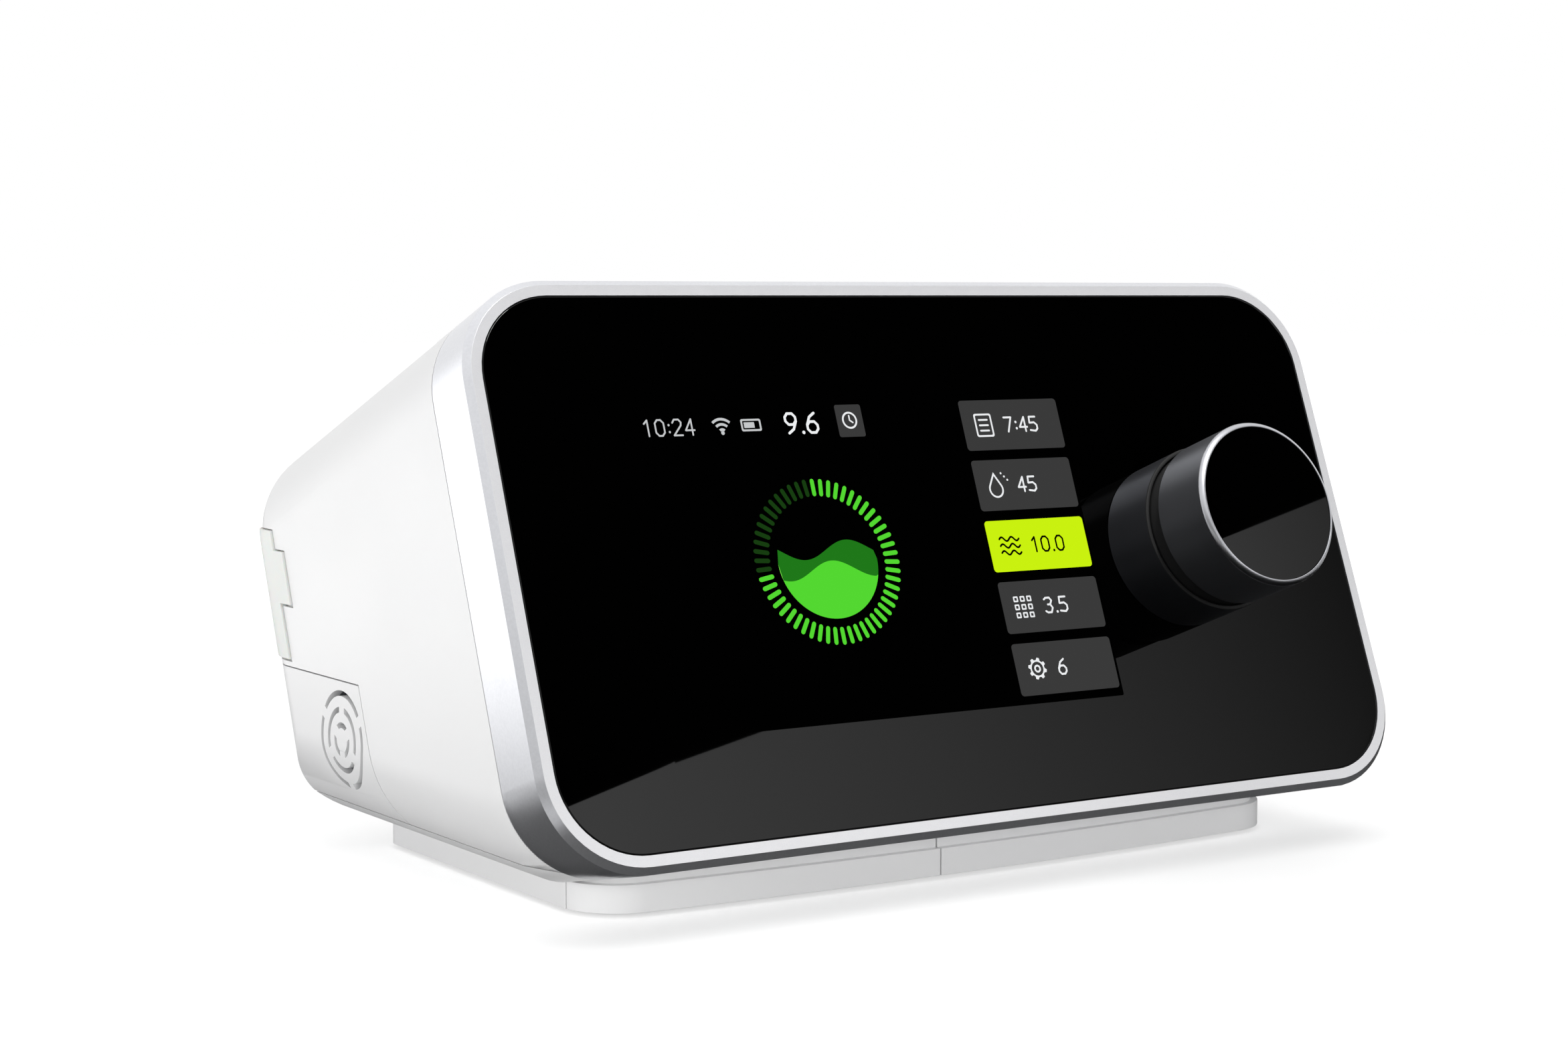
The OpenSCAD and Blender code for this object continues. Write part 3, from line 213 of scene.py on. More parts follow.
def front_finishes(m):
    """The silver band with its lip, the black glass and the display's film behind it."""
    silver = Finish("bezel_silver", linear(224, 225, 229), 0.28, 0.86, Coat_Weight=0.15, Coat_Roughness=0.12)
    flakes = silver.noise(1800, 2)
    silver.tint(flakes, linear(218, 219, 223), 0.3, 0.7)
    silver.gloss_patches(silver.noise(60, 3), 0.27, 0.33)
    silver.relief(silver.noise(300, 2), 0.000002, 0.05)
    m["bezel_silver"] = silver.material

    lip = Finish("lip_silver", linear(240, 240, 242), 0.36, 0.15, Coat_Weight=0.15, Coat_Roughness=0.12)
    lip.tint(lip.noise(4200, 2), linear(235, 235, 238), 0.3, 0.7)
    lip.gloss_patches(lip.noise(900, 3), 0.3, 0.38)
    lip.relief(lip.noise(4200, 2), 0.000003, 0.12)
    m["lip_silver"] = lip.material

    glass = Finish("front_glass", linear(1, 1, 1), 0.012, 0.0, Specular_IOR_Level=0.25, IOR=1.5)
    glass.gloss_patches(glass.noise(18, 4), 0.008, 0.018)
    m["front_glass"] = glass.material
    film = Finish("display_film", linear(1, 1, 1), 0.3, 0.0, Specular_IOR_Level=0.0)
    film.gloss_patches(film.noise(30, 3), 0.28, 0.34)
    m["display_film"] = film.material


def rubbers(m):
    """Rubber and soft foam, and the flap's paler rubber."""
    m["gasket_foam"] = rubbery("gasket_foam", 20, 0.8)
    m["foot_rubber"] = rubbery("foot_rubber", 44, 0.75)
    m["mount_rubber"] = rubbery("mount_rubber", 24, 0.7)
    m["seal_rubber"] = rubbery("seal_rubber", 66, 0.6)
    m["heater_pad"] = rubbery("heater_pad", 0, 0.5, linear(196, 120, 74))
    flap = Finish("flap_rubber", linear(240, 241, 238), 0.42, 0.0, Subsurface_Weight=0.25, Subsurface_Scale=0.003)
    flap.tint(flap.noise(14, 3), linear(233, 234, 230))
    flap.relief(flap.noise(1900, 2), 0.00001, 0.3)
    m["flap_rubber"] = flap.material


def metals(m):
    """Plain metals, and the display's own glass cell."""
    cell = Finish("display_cell", linear(14, 16, 19), 0.08)
    cell.gloss_patches(cell.noise(25, 3), 0.05, 0.12)
    m["display_cell"] = cell.material
    m["display_tray"] = brushed("display_tray", linear(190, 192, 195), 0.3, (4000, 60, 60))
    m["screw_steel"] = brushed("screw_steel", linear(176, 178, 182), 0.28)
    m["encoder_metal"] = brushed("encoder_metal", linear(168, 170, 174), 0.3)
    m["shaft_steel"] = brushed("shaft_steel", linear(205, 207, 210), 0.18)
    m["bearing_steel"] = brushed("bearing_steel", linear(212, 214, 217), 0.15)
    m["motor_steel"] = brushed("motor_steel", linear(180, 182, 186), 0.3)
    m["heater_metal"] = brushed("heater_metal", linear(206, 208, 211), 0.28, (60, 4000, 60))
    m["contact_brass"] = brushed("contact_brass", linear(205, 176, 110), 0.25)
    m["winding"] = brushed("winding", linear(196, 120, 62), 0.35, (900, 900, 9000))
    m["magnet"] = brushed("magnet", linear(92, 92, 96), 0.45)


def knob_finishes(m):
    """The knob's turned metal, whose gloss runs around its axis, and its cap."""
    around_knob = (LEAN - math.pi / 2, 0, 0)
    # the collar is the same turned metal as the ring; its lower tone (50 against 76) is painted shade
    for name, tone in (("knob_collar", 50), ("knob_metal", 76)):
        ring = Finish(name, linear(tone, tone + 1, tone + 4), 0.47, 0.85, Specular_IOR_Level=0.3, Anisotropic=1.0)
        axis = ring.nodes.new("ShaderNodeCombineXYZ")
        for socket, value in zip(axis.inputs, OUT_OF_PANEL):
            socket.default_value = value
        ring.links.new(axis.outputs["Vector"], ring.shader.inputs["Tangent"])
        turned = ring.noise(1.0, 3, ring.stretched((160, 160, 7000), around_knob))
        ring.tint(ring.noise(45, 3), linear(tone - 6, tone - 5, tone - 2), 0.3, 0.7)
        ring.gloss_patches(turned, 0.45, 0.49)
        ring.relief(turned, 0.000004, 0.2)
        m[name] = ring.material
    # the core's near-black tone, seen as the neck in the groove between collar and ring, is painted shade that keeps
    # the groove dark
    m["knob_core"] = moulded("knob_core", 14, 0.7, 0, 0.6)
    edge = Finish("knob_edge", linear(200, 201, 205), 0.3, 1.0)
    edge.tint(edge.noise(300, 3), linear(190, 191, 196), 0.3, 0.7)
    edge.gloss_patches(edge.noise(900, 2), 0.28, 0.34)
    m["knob_edge"] = edge.material
    cap = Finish("knob_cap", linear(1, 1, 1), 0.012, 0.0, Specular_IOR_Level=0.5)
    cap.gloss_patches(cap.noise(60, 3), 0.01, 0.02)
    m["knob_cap"] = cap.material


def filter_and_foam(m):
    """Fibres of the filter and the foam's open cells."""
    fleece = Finish("filter_fleece", linear(214, 218, 222), 0.95, 0.0, Sheen_Weight=0.4)
    fibres = fleece.noise(900, 6, fleece.stretched((1, 3, 3)), 0.8)
    fleece.tint(fibres, linear(176, 182, 190), 0.35, 0.7)
    fleece.relief(fibres, 0.0004, 0.8)
    m["filter_fleece"] = fleece.material
    foam = Finish("foam_grey", linear(96, 98, 104), 0.95)
    cells = foam.nodes.new("ShaderNodeTexVoronoi")
    cells.inputs["Scale"].default_value = 900
    foam.links.new(foam.place, cells.inputs["Vector"])
    foam.tint(cells.outputs["Distance"], linear(52, 54, 58), 0.2, 0.6)
    foam.relief(cells.outputs["Distance"], 0.0004, 0.8)
    m["foam_grey"] = foam.material


def boards_and_tank(m):
    """Circuit boards with their chips, and the clear tank."""
    board = Finish("circuit_board", linear(24, 92, 56), 0.35)
    traces = board.nodes.new("ShaderNodeTexBrick")
    traces.inputs["Scale"].default_value = 260
    traces.inputs["Color1"].default_value = (0, 0, 0, 1)
    traces.inputs["Color2"].default_value = (0.3, 0.3, 0.3, 1)
    traces.inputs["Mortar"].default_value = (1, 1, 1, 1)
    traces.inputs["Mortar Size"].default_value = 0.06
    board.links.new(board.place, traces.inputs["Vector"])
    board.tint(traces.outputs["Fac"], linear(44, 122, 76), 0.4, 0.6)
    board.relief(traces.outputs["Fac"], 0.00003, 0.4)
    m["circuit_board"] = board.material
    chips = Finish("chips", linear(30, 30, 32), 0.5)
    chips.tint(chips.noise(120, 3), linear(46, 46, 50))
    chips.relief(chips.noise(3000, 2), 0.00002, 0.4)
    m["chips"] = chips.material

    clear = Finish("tank_clear", linear(226, 232, 236), 0.08, 0.0, Transmission_Weight=0.85, IOR=1.49)
    clear.gloss_patches(clear.noise(25, 3), 0.05, 0.13)
    clear.relief(clear.noise(90, 2), 0.00003, 0.2)
    m["tank_clear"] = clear.material


def make_materials():
    """Every finish by the name of its slot, with a few more for single pieces."""
    m = {}
    for group in (plastics, front_finishes, rubbers, metals, knob_finishes, filter_and_foam, boards_and_tank):
        group(m)
    return m


# ---------- mesh helpers ----------

def add_piece(name, mesh, body, materials, replaces=()):
    """Puts a finished mesh into the machine: its body and the nodes it stands for."""
    piece = bpy.data.objects.new(name, mesh)
    bpy.context.scene.collection.objects.link(piece)
    shares = [polygon.material_index for polygon in mesh.polygons]
    mesh.materials.clear()
    for material in materials:
        mesh.materials.append(material)
    mesh.polygons.foreach_set("material_index", shares)
    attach(piece, body)
    if replaces:
        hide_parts(*replaces)
    return piece


def evaluated_mesh(work):
    """The mesh an object has after its modifiers; the modifiers go, and the object with them."""
    result = bpy.data.meshes.new_from_object(work.evaluated_get(bpy.context.evaluated_depsgraph_get()))
    work.modifiers.clear()
    bpy.data.objects.remove(work)
    return result


def work_object(mesh):
    """A passing object for a mesh that modifiers are to change."""
    work = bpy.data.objects.new("work", mesh)
    bpy.context.scene.collection.objects.link(work)
    return work


def finished_shell(node, body, materials, edge, pick=None):
    """A smooth-shaded skin on a construction solid of the frame, its edges rounded by so many mm."""
    source = frame["nodes"][node]
    bm = bmesh.new()
    bm.from_mesh(source.data)
    bmesh.ops.remove_doubles(bm, verts=bm.verts, dist=0.000002)
    bmesh.ops.dissolve_degenerate(bm, dist=0.000001, edges=bm.edges)
    bmesh.ops.dissolve_limit(bm, angle_limit=math.radians(0.4), verts=bm.verts, edges=bm.edges)
    for face in bm.faces:
        face.smooth = True
    mesh = bpy.data.meshes.new(node + "_skin")
    bm.to_mesh(mesh)
    bm.free()
    work = work_object(mesh)
    if edge:
        bevel = work.modifiers.new("round", "BEVEL")
        bevel.width = edge * MM
        bevel.segments = 2
        bevel.limit_method = "ANGLE"
        bevel.angle_limit = math.radians(SHARP_ANGLE + 8)
        bevel.use_clamp_overlap = True
        bevel.harden_normals = False
    result = smooth_shaded(evaluated_mesh(work), SHARP_ANGLE)
    result.name = node + "_skin"
    if pick:
        for polygon in result.polygons:
            polygon.material_index = pick(polygon.center / MM, polygon.normal)
    return add_piece(node + "_skin", result, body, materials, (node,))


def smooth_shaded(mesh, crease):
    """Smooth shading with sharp edges over an angle, and normals that keep the flat faces flat."""
    for polygon in mesh.polygons:
        polygon.use_smooth = True
    mesh.set_sharp_from_angle(angle=math.radians(crease))
    work = work_object(mesh)
    work.modifiers.new("weigh", "WEIGHTED_NORMAL").keep_sharp = True
    return evaluated_mesh(work)


def turned_part(name, profile, place, axis, materials, body, replaces, steps=160, closed=True):
    """A lathe-turned part: profile points are (radius, height, material) along the axis, in mm.

    Each stretch of the profile takes the material of the point it starts from.
    """
    bm = bmesh.new()
    axis = axis.normalized()
    side = axis.orthogonal().normalized()
    other = axis.cross(side)
    rings = []
    for radius, height, _ in profile:
        if radius < 1e-6:
            rings.append([bm.verts.new((place + axis * height) * MM)])
            continue
        ring = []
        for i in range(steps):
            a = 2 * math.pi * i / steps
            outward = side * math.cos(a) + other * math.sin(a)
            ring.append(bm.verts.new((place + axis * height + outward * radius) * MM))
        rings.append(ring)
    count = len(profile)
    pairs = [(i, (i + 1) % count) for i in range(count if closed else count - 1)]
    for a, b in pairs:
        low, high = rings[a], rings[b]
        if len(low) == 1 and len(high) == 1:
            continue
        for i in range(steps):
            j = (i + 1) % steps
            corners = [low[i % len(low)], low[j % len(low)], high[j % len(high)], high[i % len(high)]]
            unique = list(dict.fromkeys(corners))
            if len(unique) > 2:
                face = bm.faces.new(unique)
                face.material_index = profile[a][2]
    bmesh.ops.recalc_face_normals(bm, faces=bm.faces)
    mesh = bpy.data.meshes.new(name)
    bm.to_mesh(mesh)
    bm.free()
    mesh = smooth_shaded(mesh, 40)
    mesh.name = name
    return add_piece(name, mesh, body, materials, replaces)


# ---------- outlines on the front ----------

def arc(cx, cy, r, a0, a1, steps):
    return [(cx + r * math.cos(math.radians(a0 + (a1 - a0) * i / steps)),
             cy + r * math.sin(math.radians(a0 + (a1 - a0) * i / steps))) for i in range(steps + 1)]


def disc(cx, cy, r, steps=40):
    return arc(cx, cy, r, 0, 360, steps)[:-1]


def rounded_box(x0, y0, x1, y1, r, steps=6):
    return (arc(x1 - r, y1 - r, r, 0, 90, steps) + arc(x0 + r, y1 - r, r, 90, 180, steps)
            + arc(x0 + r, y0 + r, r, 180, 270, steps) + arc(x1 - r, y0 + r, r, 270, 360, steps))


def anticlockwise(shape):
    area = sum(x0 * y1 - x1 * y0 for (x0, y0), (x1, y1) in zip(shape, shape[1:] + shape[:1]))
    return shape if area > 0 else shape[::-1]


def line(points, width, steps=6):
    """Outlines of a drawn line with round ends: one outline for each stretch."""
    shapes = []
    for (x0, y0), (x1, y1) in zip(points, points[1:]):
        a = math.degrees(math.atan2(y1 - y0, x1 - x0))
        shapes.append(arc(x1, y1, width / 2, a - 90, a + 90, steps) + arc(x0, y0, width / 2, a + 90, a + 270, steps))
    return shapes


DIGIT_LINES = {
    "0": [[(0, .2), (0, .8), (.18, 1), (.42, 1), (.6, .8), (.6, .2), (.42, 0), (.18, 0), (0, .2)]],
    "1": [[(.1, .78), (.34, 1), (.34, 0)]],
    "2": [[(0, .8), (.15, 1), (.45, 1), (.6, .82), (.56, .62), (0, 0), (.6, 0)]],
    "3": [[(0, .9), (.15, 1), (.45, 1), (.6, .8), (.45, .54), (.25, .54)],
          [(.45, .54), (.6, .3), (.45, 0), (.15, 0), (0, .1)]],
    "4": [[(.46, 0), (.46, 1), (0, .3), (.62, .3)]],
    "5": [[(.56, 1), (.06, 1), (.02, .58), (.4, .6), (.6, .42), (.6, .16), (.42, 0), (0, .06)]],
    "6": [[(.5, 1), (.2, .8), (0, .4), (0, .18), (.16, 0), (.44, 0), (.6, .18), (.6, .38), (.44, .56),
           (.16, .56), (.02, .4)]],
    "7": [[(0, 1), (.6, 1), (.2, 0)]],
    "8": [[(.16, .54), (.02, .74), (.16, 1), (.44, 1), (.58, .74), (.44, .54), (.16, .54), (0, .28), (.16, 0),
           (.44, 0), (.6, .28), (.44, .54)]],
    "9": [[(.1, 0), (.4, .2), (.6, .6), (.6, .82), (.44, 1), (.16, 1), (0, .82), (0, .62), (.16, .44),
           (.44, .44), (.58, .6)]],
}


def number(text, x, y, size, width):
    """Plain figures drawn with round-ended lines."""
    shapes = []
    for sign in text:
        if sign in DIGIT_LINES:
            for stroke in DIGIT_LINES[sign]:
                shapes += line([(x + px * size, y + py * size) for px, py in stroke], width)
            x += size * 0.86
        else:
            spots = (0.22, 0.66) if sign == ":" else (0.02,)
            shapes += [disc(x + 0.08 * size, y + s * size, width * 0.68, 16) for s in spots]
            x += size * 0.36
    return shapes


def toned(shapes, tone):
    """Outlines of the display's picture with the name of their tone; later ones lie over earlier ones."""
    return [(shape, tone) for shape in shapes]


def menu_boxes():
    """Five boxes at the right, each with a small sign and a figure; the third one is lit."""
    out = []
    menu_left, menu_right, menu_height = 6.0, 32.3, 11.2
    for row in range(5):
        top = 32.0 - 13.4 * row
        tone, ink = ("lime", "black") if row == 2 else ("slate", "white")
        out += toned([rounded_box(menu_left, top - menu_height, menu_right, top, 0.8)], tone)
        cx, cy = menu_left + 5.6, top - menu_height / 2
        if row == 0:
            out += toned([rounded_box(cx - 2.3, cy - 2.6, cx + 2.3, cy + 2.6, 0.5)], ink)
            out += toned([rounded_box(cx - 1.9, cy - 2.2, cx + 1.9, cy + 2.2, 0.3)], tone)
            for k in (-1, 0, 1):
                out += toned(line([(cx - 1.1, cy + 1.2 * k), (cx + 1.1, cy + 1.2 * k)], 0.4), ink)
        elif row == 1:
            drop = arc(cx - 0.4, cy - 0.9, 1.9, 150, 390, 24)
            out += toned([drop + [(cx - 0.4, cy + 2.9)]], ink)
            inner = arc(cx - 0.4, cy - 0.9, 1.5, 150, 390, 24)
            out += toned([inner + [(cx - 0.4, cy + 2.1)]], tone)
            out += toned([disc(cx + 1.6 + 0.7 * i, cy + 2.6 - 0.75 * i, 0.24, 12) for i in range(3)], ink)
        elif row == 2:
            for k in range(3):
                height = cy + 1.5 - 1.5 * k
                points = [(cx - 2.6 + 0.26 * i, height + 0.45 * math.sin(i / 20 * 4 * math.pi)) for i in range(21)]
                out += toned(line(points, 0.42, 3), ink)
        elif row == 3:
            for i in (-1, 0, 1):
                for j in (-1, 0, 1):
                    x, y = cx + 1.75 * i, cy + 1.75 * j
                    out += toned([rounded_box(x - 0.62, y - 0.62, x + 0.62, y + 0.62, 0.2, 3)], ink)
                    out += toned([rounded_box(x - 0.3, y - 0.3, x + 0.3, y + 0.3, 0.1, 3)], tone)
        else:
            teeth = []
            for i in range(48):
                r = 2.35 if (i // 3) % 2 else 1.85
                a = math.radians(7.5 * i)
                teeth.append((cx + r * math.cos(a), cy + r * math.sin(a)))
            out += toned([teeth], ink)
            out += toned([disc(cx, cy, 1.5)], tone)
            out += toned([disc(cx, cy, 0.85)], ink)
            out += toned([disc(cx, cy, 0.45)], tone)
        text = ("7:45", "45", "10.0", "3.5", "6")[row]
        out += toned(number(text, menu_left + 11.2, cy - 1.6, 3.2, 0.42), ink)
    return out


def status_line():
    """Along the top: the time, the radio and battery signs, the pressure and a small clock."""
    out = []
    out += toned([rounded_box(-25.8, 24.8, -19.3, 31.8, 0.5)], "slate")
    out += toned([disc(-22.6, 28.4, 1.85)], "white")
    out += toned([disc(-22.6, 28.4, 1.45)], "slate")
    out += toned(line([(-22.6, 28.4), (-22.6, 29.4)], 0.34) + line([(-22.6, 28.4), (-21.9, 27.9)], 0.34), "white")
    out += toned(number("10:24", -72.0, 26.3, 3.3, 0.36), "grey")
    for r in (1.1, 2.2, 3.3):
        band = arc(-53.8, 26.4, r, 48, 132, 12) + arc(-53.8, 26.4, r - 0.55, 132, 48, 12)
        out += toned([band], "grey")
    out += toned([disc(-53.8, 26.5, 0.42, 16)], "grey")
    out += toned([rounded_box(-49.2, 26.7, -44.4, 29.3, 0.4)], "grey")
    out += toned([rounded_box(-48.8, 27.1, -44.8, 28.9, 0.2)], "black")
    out += toned([rounded_box(-48.5, 27.4, -46.0, 28.6, 0.1)], "grey")
    out += toned(number("9.6", -38.4, 26.0, 4.2, 0.56), "white")
    return out


def round_gauge():
    """A ring of strokes around a bowl with waves."""
    out = []
    cx, cy = -35.0, -1.3
    for i in range(54):
        a = math.radians(90 - 360 / 54 * i)
        p0 = (cx + 14.2 * math.cos(a), cy + 14.2 * math.sin(a))
        p1 = (cx + 17.0 * math.cos(a), cy + 17.0 * math.sin(a))
        out += toned(line([p0, p1], 0.95, 4), "green" if i < 40 else "fern")
    r = 12.0
    for k, tone in ((0, "moss"), (1, "green"), (2, "leaf")):
        lift = 2.4 - 4.2 * k
        points = []
        for i in range(49):
            x = -r + 2 * r * i / 48
            y = lift + 1.9 * math.sin(x / r * math.pi * 1.15 + 1.3 * k)
            edge = math.sqrt(max(0.0, r * r - x * x))
            points.append((cx + x, cy + max(-edge, min(edge, y))))
        bowl = [(cx + r * math.cos(math.radians(a)), cy - r * math.sin(math.radians(a))) for a in range(4, 177, 4)]
        y0 = points[-1][1]
        bowl = [p for p in bowl if p[1] < min(y0, points[0][1]) - 0.05]
        out += toned([points + bowl], tone)
    return out


def glass_outline(inset):
    w, h = GLASS_HALF_W - inset, GLASS_HALF_H - inset
    return rounded_box(-w, -h, w, h, GLASS_CORNER - inset, 24)


def front_glass(m):
    """Black glass with the display's window and its picture flush in the front face."""
    tones = {"slate": (57, 57, 57), "lime": (200, 240, 15), "white": (236, 238, 240), "grey": (196, 198, 200),
             "green": (82, 214, 48), "fern": (22, 60, 16), "moss": (30, 118, 24), "leaf": (126, 236, 78)}
    materials = [m["front_glass"], m["display_film"]]
    index = {"black": 1}
    for tone, value in tones.items():
        index[tone] = len(materials)
        materials.append(lit("lit_" + tone, *value))
    edge = 0.35
    window = rounded_box(*DISPLAY_WINDOW, 0.4, 3)
    picture = menu_boxes() + status_line() + round_gauge()
    areas = [(glass_outline(edge), 0), (window, 1)] + [(shape, index[tone]) for shape, tone in picture]
    points, loops = [], []
    for shape, _ in areas:
        start = len(points)
        points += [Vector(p) for p in anticlockwise(shape)]
        loops.append(list(range(start, len(points))))
    verts, _, faces, _, _, origin = delaunay_2d_cdt(points, [], loops, 1, 1e-5, True)
    bm = bmesh.new()
    flat = [bm.verts.new(on_panel(p.x, p.y, 0)) for p in verts]
    for corners, owners in zip(faces, origin):
        if not owners:
            continue
        face = bm.faces.new([flat[i] for i in corners])
        face.material_index = areas[max(owners)][1]
        face.smooth = True
    lit_faces = bm.copy()
    bmesh.ops.delete(lit_faces, geom=[face for face in lit_faces.faces if face.material_index < 2], context="FACES")
    bmesh.ops.delete(bm, geom=[face for face in bm.faces if face.material_index > 1], context="FACES_ONLY")
    mesh = bpy.data.meshes.new("display_picture")
    lit_faces.to_mesh(mesh)
    lit_faces.free()
    shown = add_piece("display_picture", mesh, "body", materials, ("front_glass",))
    # the glowing colours don't show in the knob's gloss, as they don't in the photograph
    shown.visible_glossy = shown.visible_diffuse = False
    rim = [[on_panel(x, y, h) for x, y in glass_outline(inset)]
           for inset, h in ((edge, 0), (edge * 0.3, -edge * 0.3), (0, -edge), (0, -2))]
    rings = [[bm.verts.new(p) for p in loop] for loop in rim]
    count = len(rings[0])
    for low, high in zip(rings, rings[1:]):
        for i in range(count):
            j = (i + 1) % count
            if (low[i].co - low[j].co).length > 1e-9:
                face = bm.faces.new((low[j], low[i], high[i], high[j]))
                face.smooth = True
    bm.faces.new(list(reversed(rings[-1])))
    bmesh.ops.remove_doubles(bm, verts=bm.verts, dist=0.000001)
    mesh = bpy.data.meshes.new("front_glass_panel")
    bm.to_mesh(mesh)
    bm.free()
    mesh = smooth_shaded(mesh, 50)
    return add_piece("front_glass_panel", mesh, "body", materials, ("front_glass",))


# ---------- the machine ----------

def knob(m):
    """Collar, groove, turned metal ring with its bright chamfer, and the glossy cap."""
    centre = GLASS_CENTRE + Vector((KNOB_CENTRE[0], 0, 0)) + UP_PANEL * KNOB_CENTRE[1]
    axis = OUT_OF_PANEL
    # the collar's rounded top edge and its inner faces take the core's dark finish instead of the metal: painted
    # shade along the groove, without the edge's highlight
    collar = [(5.2, 0.02, 0), (18.1, 0.02, 0), (18.3, 0.22, 0), (18.3, 13.3, 1), (18.2, 13.55, 1), (17.9, 13.7, 1),
              (17.6, 13.7, 1), (17.4, 13.5, 1), (17.4, 2.8, 1), (17.2, 2.6, 1), (5.2, 2.6, 1)]
    turned_part("knob_collar_turned", collar, centre, axis, [m["knob_collar"], m["knob_core"]],
                "body", ("knob_collar",))
    core = [(3.1, 6.7, 0), (5.5, 6.7, 0), (5.5, 12.0, 0), (15.0, 12.0, 0), (15.0, 11.2, 0), (16.9, 11.2, 0),
            (17.05, 11.4, 0), (17.05, 17.2, 0), (16.0, 17.2, 0), (16.0, 30.5, 0), (3.1, 30.5, 0)]
    turned_part("knob_core_turned", core, centre, axis, [m["knob_core"]], "knob", ("knob_core",))
    ring = [(16.1, 17.3, 0), (17.75, 17.25, 0), (17.95, 17.35, 0), (18.0, 17.6, 0), (18.0, 30.7, 1),
            (17.93, 31.0, 1), (17.72, 31.32, 1), (17.42, 31.6, 1), (17.12, 31.76, 1), (16.98, 31.8, 1),
            (16.9, 31.76, 0), (16.9, 30.6, 0), (16.1, 30.6, 0)]
    turned_part("knob_ring_turned", ring, centre, axis, [m["knob_metal"], m["knob_edge"]],
                "knob", ("knob_ring",), steps=220)
    cap = [(0, 31.6, 0), (16.7, 31.6, 0), (16.82, 31.56, 0), (16.85, 31.45, 0), (16.85, 30.7, 0), (0, 30.7, 0)]
    turned_part("knob_cap_turned", cap, centre, axis, [m["knob_cap"]],
                "knob", ("knob_cap",), closed=False)


def lip_or_band(centre, normal):
    """Which part of the silver frame a face belongs to: the bright lip, or the band."""
    h = (centre - GLASS_CENTRE).dot(OUT_OF_PANEL)
    return 1 if h > -0.3 and normal.dot(OUT_OF_PANEL) > 0.9 else 0


SHELLS = (
    # node, body, finish, rounded edge in mm
    ("main_housing", "body", "housing_white", 0.18),
    ("bottom_chassis", "body", "chassis_white", 0.18),
    ("base_plate", "body", "base_white", 0.5),
    ("base_corner", "body", "base_white", 0.5),
    ("filter_cover", "filter_cover", "cover_white", 0.15),
    ("port_flap", "port_flap", "flap_rubber", 0.25),
    ("air_outlet", "body", "outlet_white", 0.2),
    ("water_tank", "tank", "tank_clear", 0.3),
    ("tank_lid", "tank", "tank_clear", 0.4),
    ("tank_bay", "body", "inner_white", 0.3),
    ("power_socket", "body", "socket_black", 0.1),
    ("card_reader", "body", "reader", 0.1),
    ("filter_frame", "body", "inner_white", 0.1),
    ("impeller", "fan", "fan_plastic", 0),
    ("blower_scroll", "body", "blower_plastic", 0),
    ("blower_cover", "body", "blower_plastic", 0.2),
    ("rubber_feet", "body", "foot_rubber", 0.2),
)


def dressed_shells(m):
    silver = [m["bezel_silver"], m["lip_silver"]]
    finished_shell("front_bezel", "body", silver, 0.16, lip_or_band)
    for node, body, finish, edge in SHELLS:
        finished_shell(node, body, [m[finish]], edge)


# ---------- what repeats: made by node trees ----------

class Growth:
    """A node tree that grows one repeated part from named sizes, and the mesh it gives."""

    def __init__(self, name, sizes):
        self.tree = bpy.data.node_groups.new(name, "GeometryNodeTree")
        face = self.tree.interface
        face.new_socket(name="Places", in_out="INPUT", socket_type="NodeSocketGeometry")
        self.sizes = {}
        for size, value in sizes.items():
            kind = "NodeSocketInt" if isinstance(value, int) else "NodeSocketFloat"
            self.sizes[size] = (face.new_socket(name=size, in_out="INPUT", socket_type=kind).identifier, value)
        face.new_socket(name="Mesh", in_out="OUTPUT", socket_type="NodeSocketGeometry")
        self.start = self.tree.nodes.new("NodeGroupInput")
        self.end = self.tree.nodes.new("NodeGroupOutput")

    def node(self, kind, settings=None, **sockets):
        """A new node; n0, n1 and so on name an input by its number, other names by its label."""
        node = self.tree.nodes.new(kind)
        for key, value in (settings or {}).items():
            setattr(node, key, value)
        for key, value in sockets.items():
            numbered = key[0] == "n" and key[1:].isdigit()
            socket = node.inputs[int(key[1:]) if numbered else key.replace("_", " ")]
            if isinstance(value, bpy.types.NodeSocket):
                self.tree.links.new(value, socket)
            else:
                socket.default_value = value
        return node

    def size(self, name):
        return self.start.outputs[name]

    def worked(self, operation, a, b):
        return self.node("ShaderNodeMath", {"operation": operation}, n0=a, n1=b).outputs[0]

    def along_z(self, height):
        return self.node("ShaderNodeCombineXYZ", Z=height).outputs[0]

    def moved(self, shape, **sockets):
        return self.node("GeometryNodeTransform", Geometry=shape, **sockets).outputs[0]

    def joined(self, *shapes):
        node = self.tree.nodes.new("GeometryNodeJoinGeometry")
        for shape in shapes:
            self.tree.links.new(shape, node.inputs[0])
        return node.outputs[0]

    def grown(self, shape, places, material, matrix):
        """Puts the shape at every place and gives the finished mesh, laid into the machine."""
        realized = self.node("GeometryNodeRealizeInstances", Geometry=shape).outputs[0]
        dressed = self.node("GeometryNodeSetMaterial", Geometry=realized)
        dressed.inputs["Material"].default_value = material
        self.tree.links.new(dressed.outputs[0], self.end.inputs[0])
        seeds = bpy.data.meshes.new("places")
        seeds.from_pydata(places, [], [])
        work = work_object(seeds)
        modifier = work.modifiers.new("growth", "NODES")
        modifier.node_group = self.tree
        for identifier, value in self.sizes.values():
            modifier[identifier] = value
        mesh = evaluated_mesh(work)
        mesh.transform(matrix)
        return smooth_shaded(mesh, 35)


SCREW_HEAD_H = 1.9


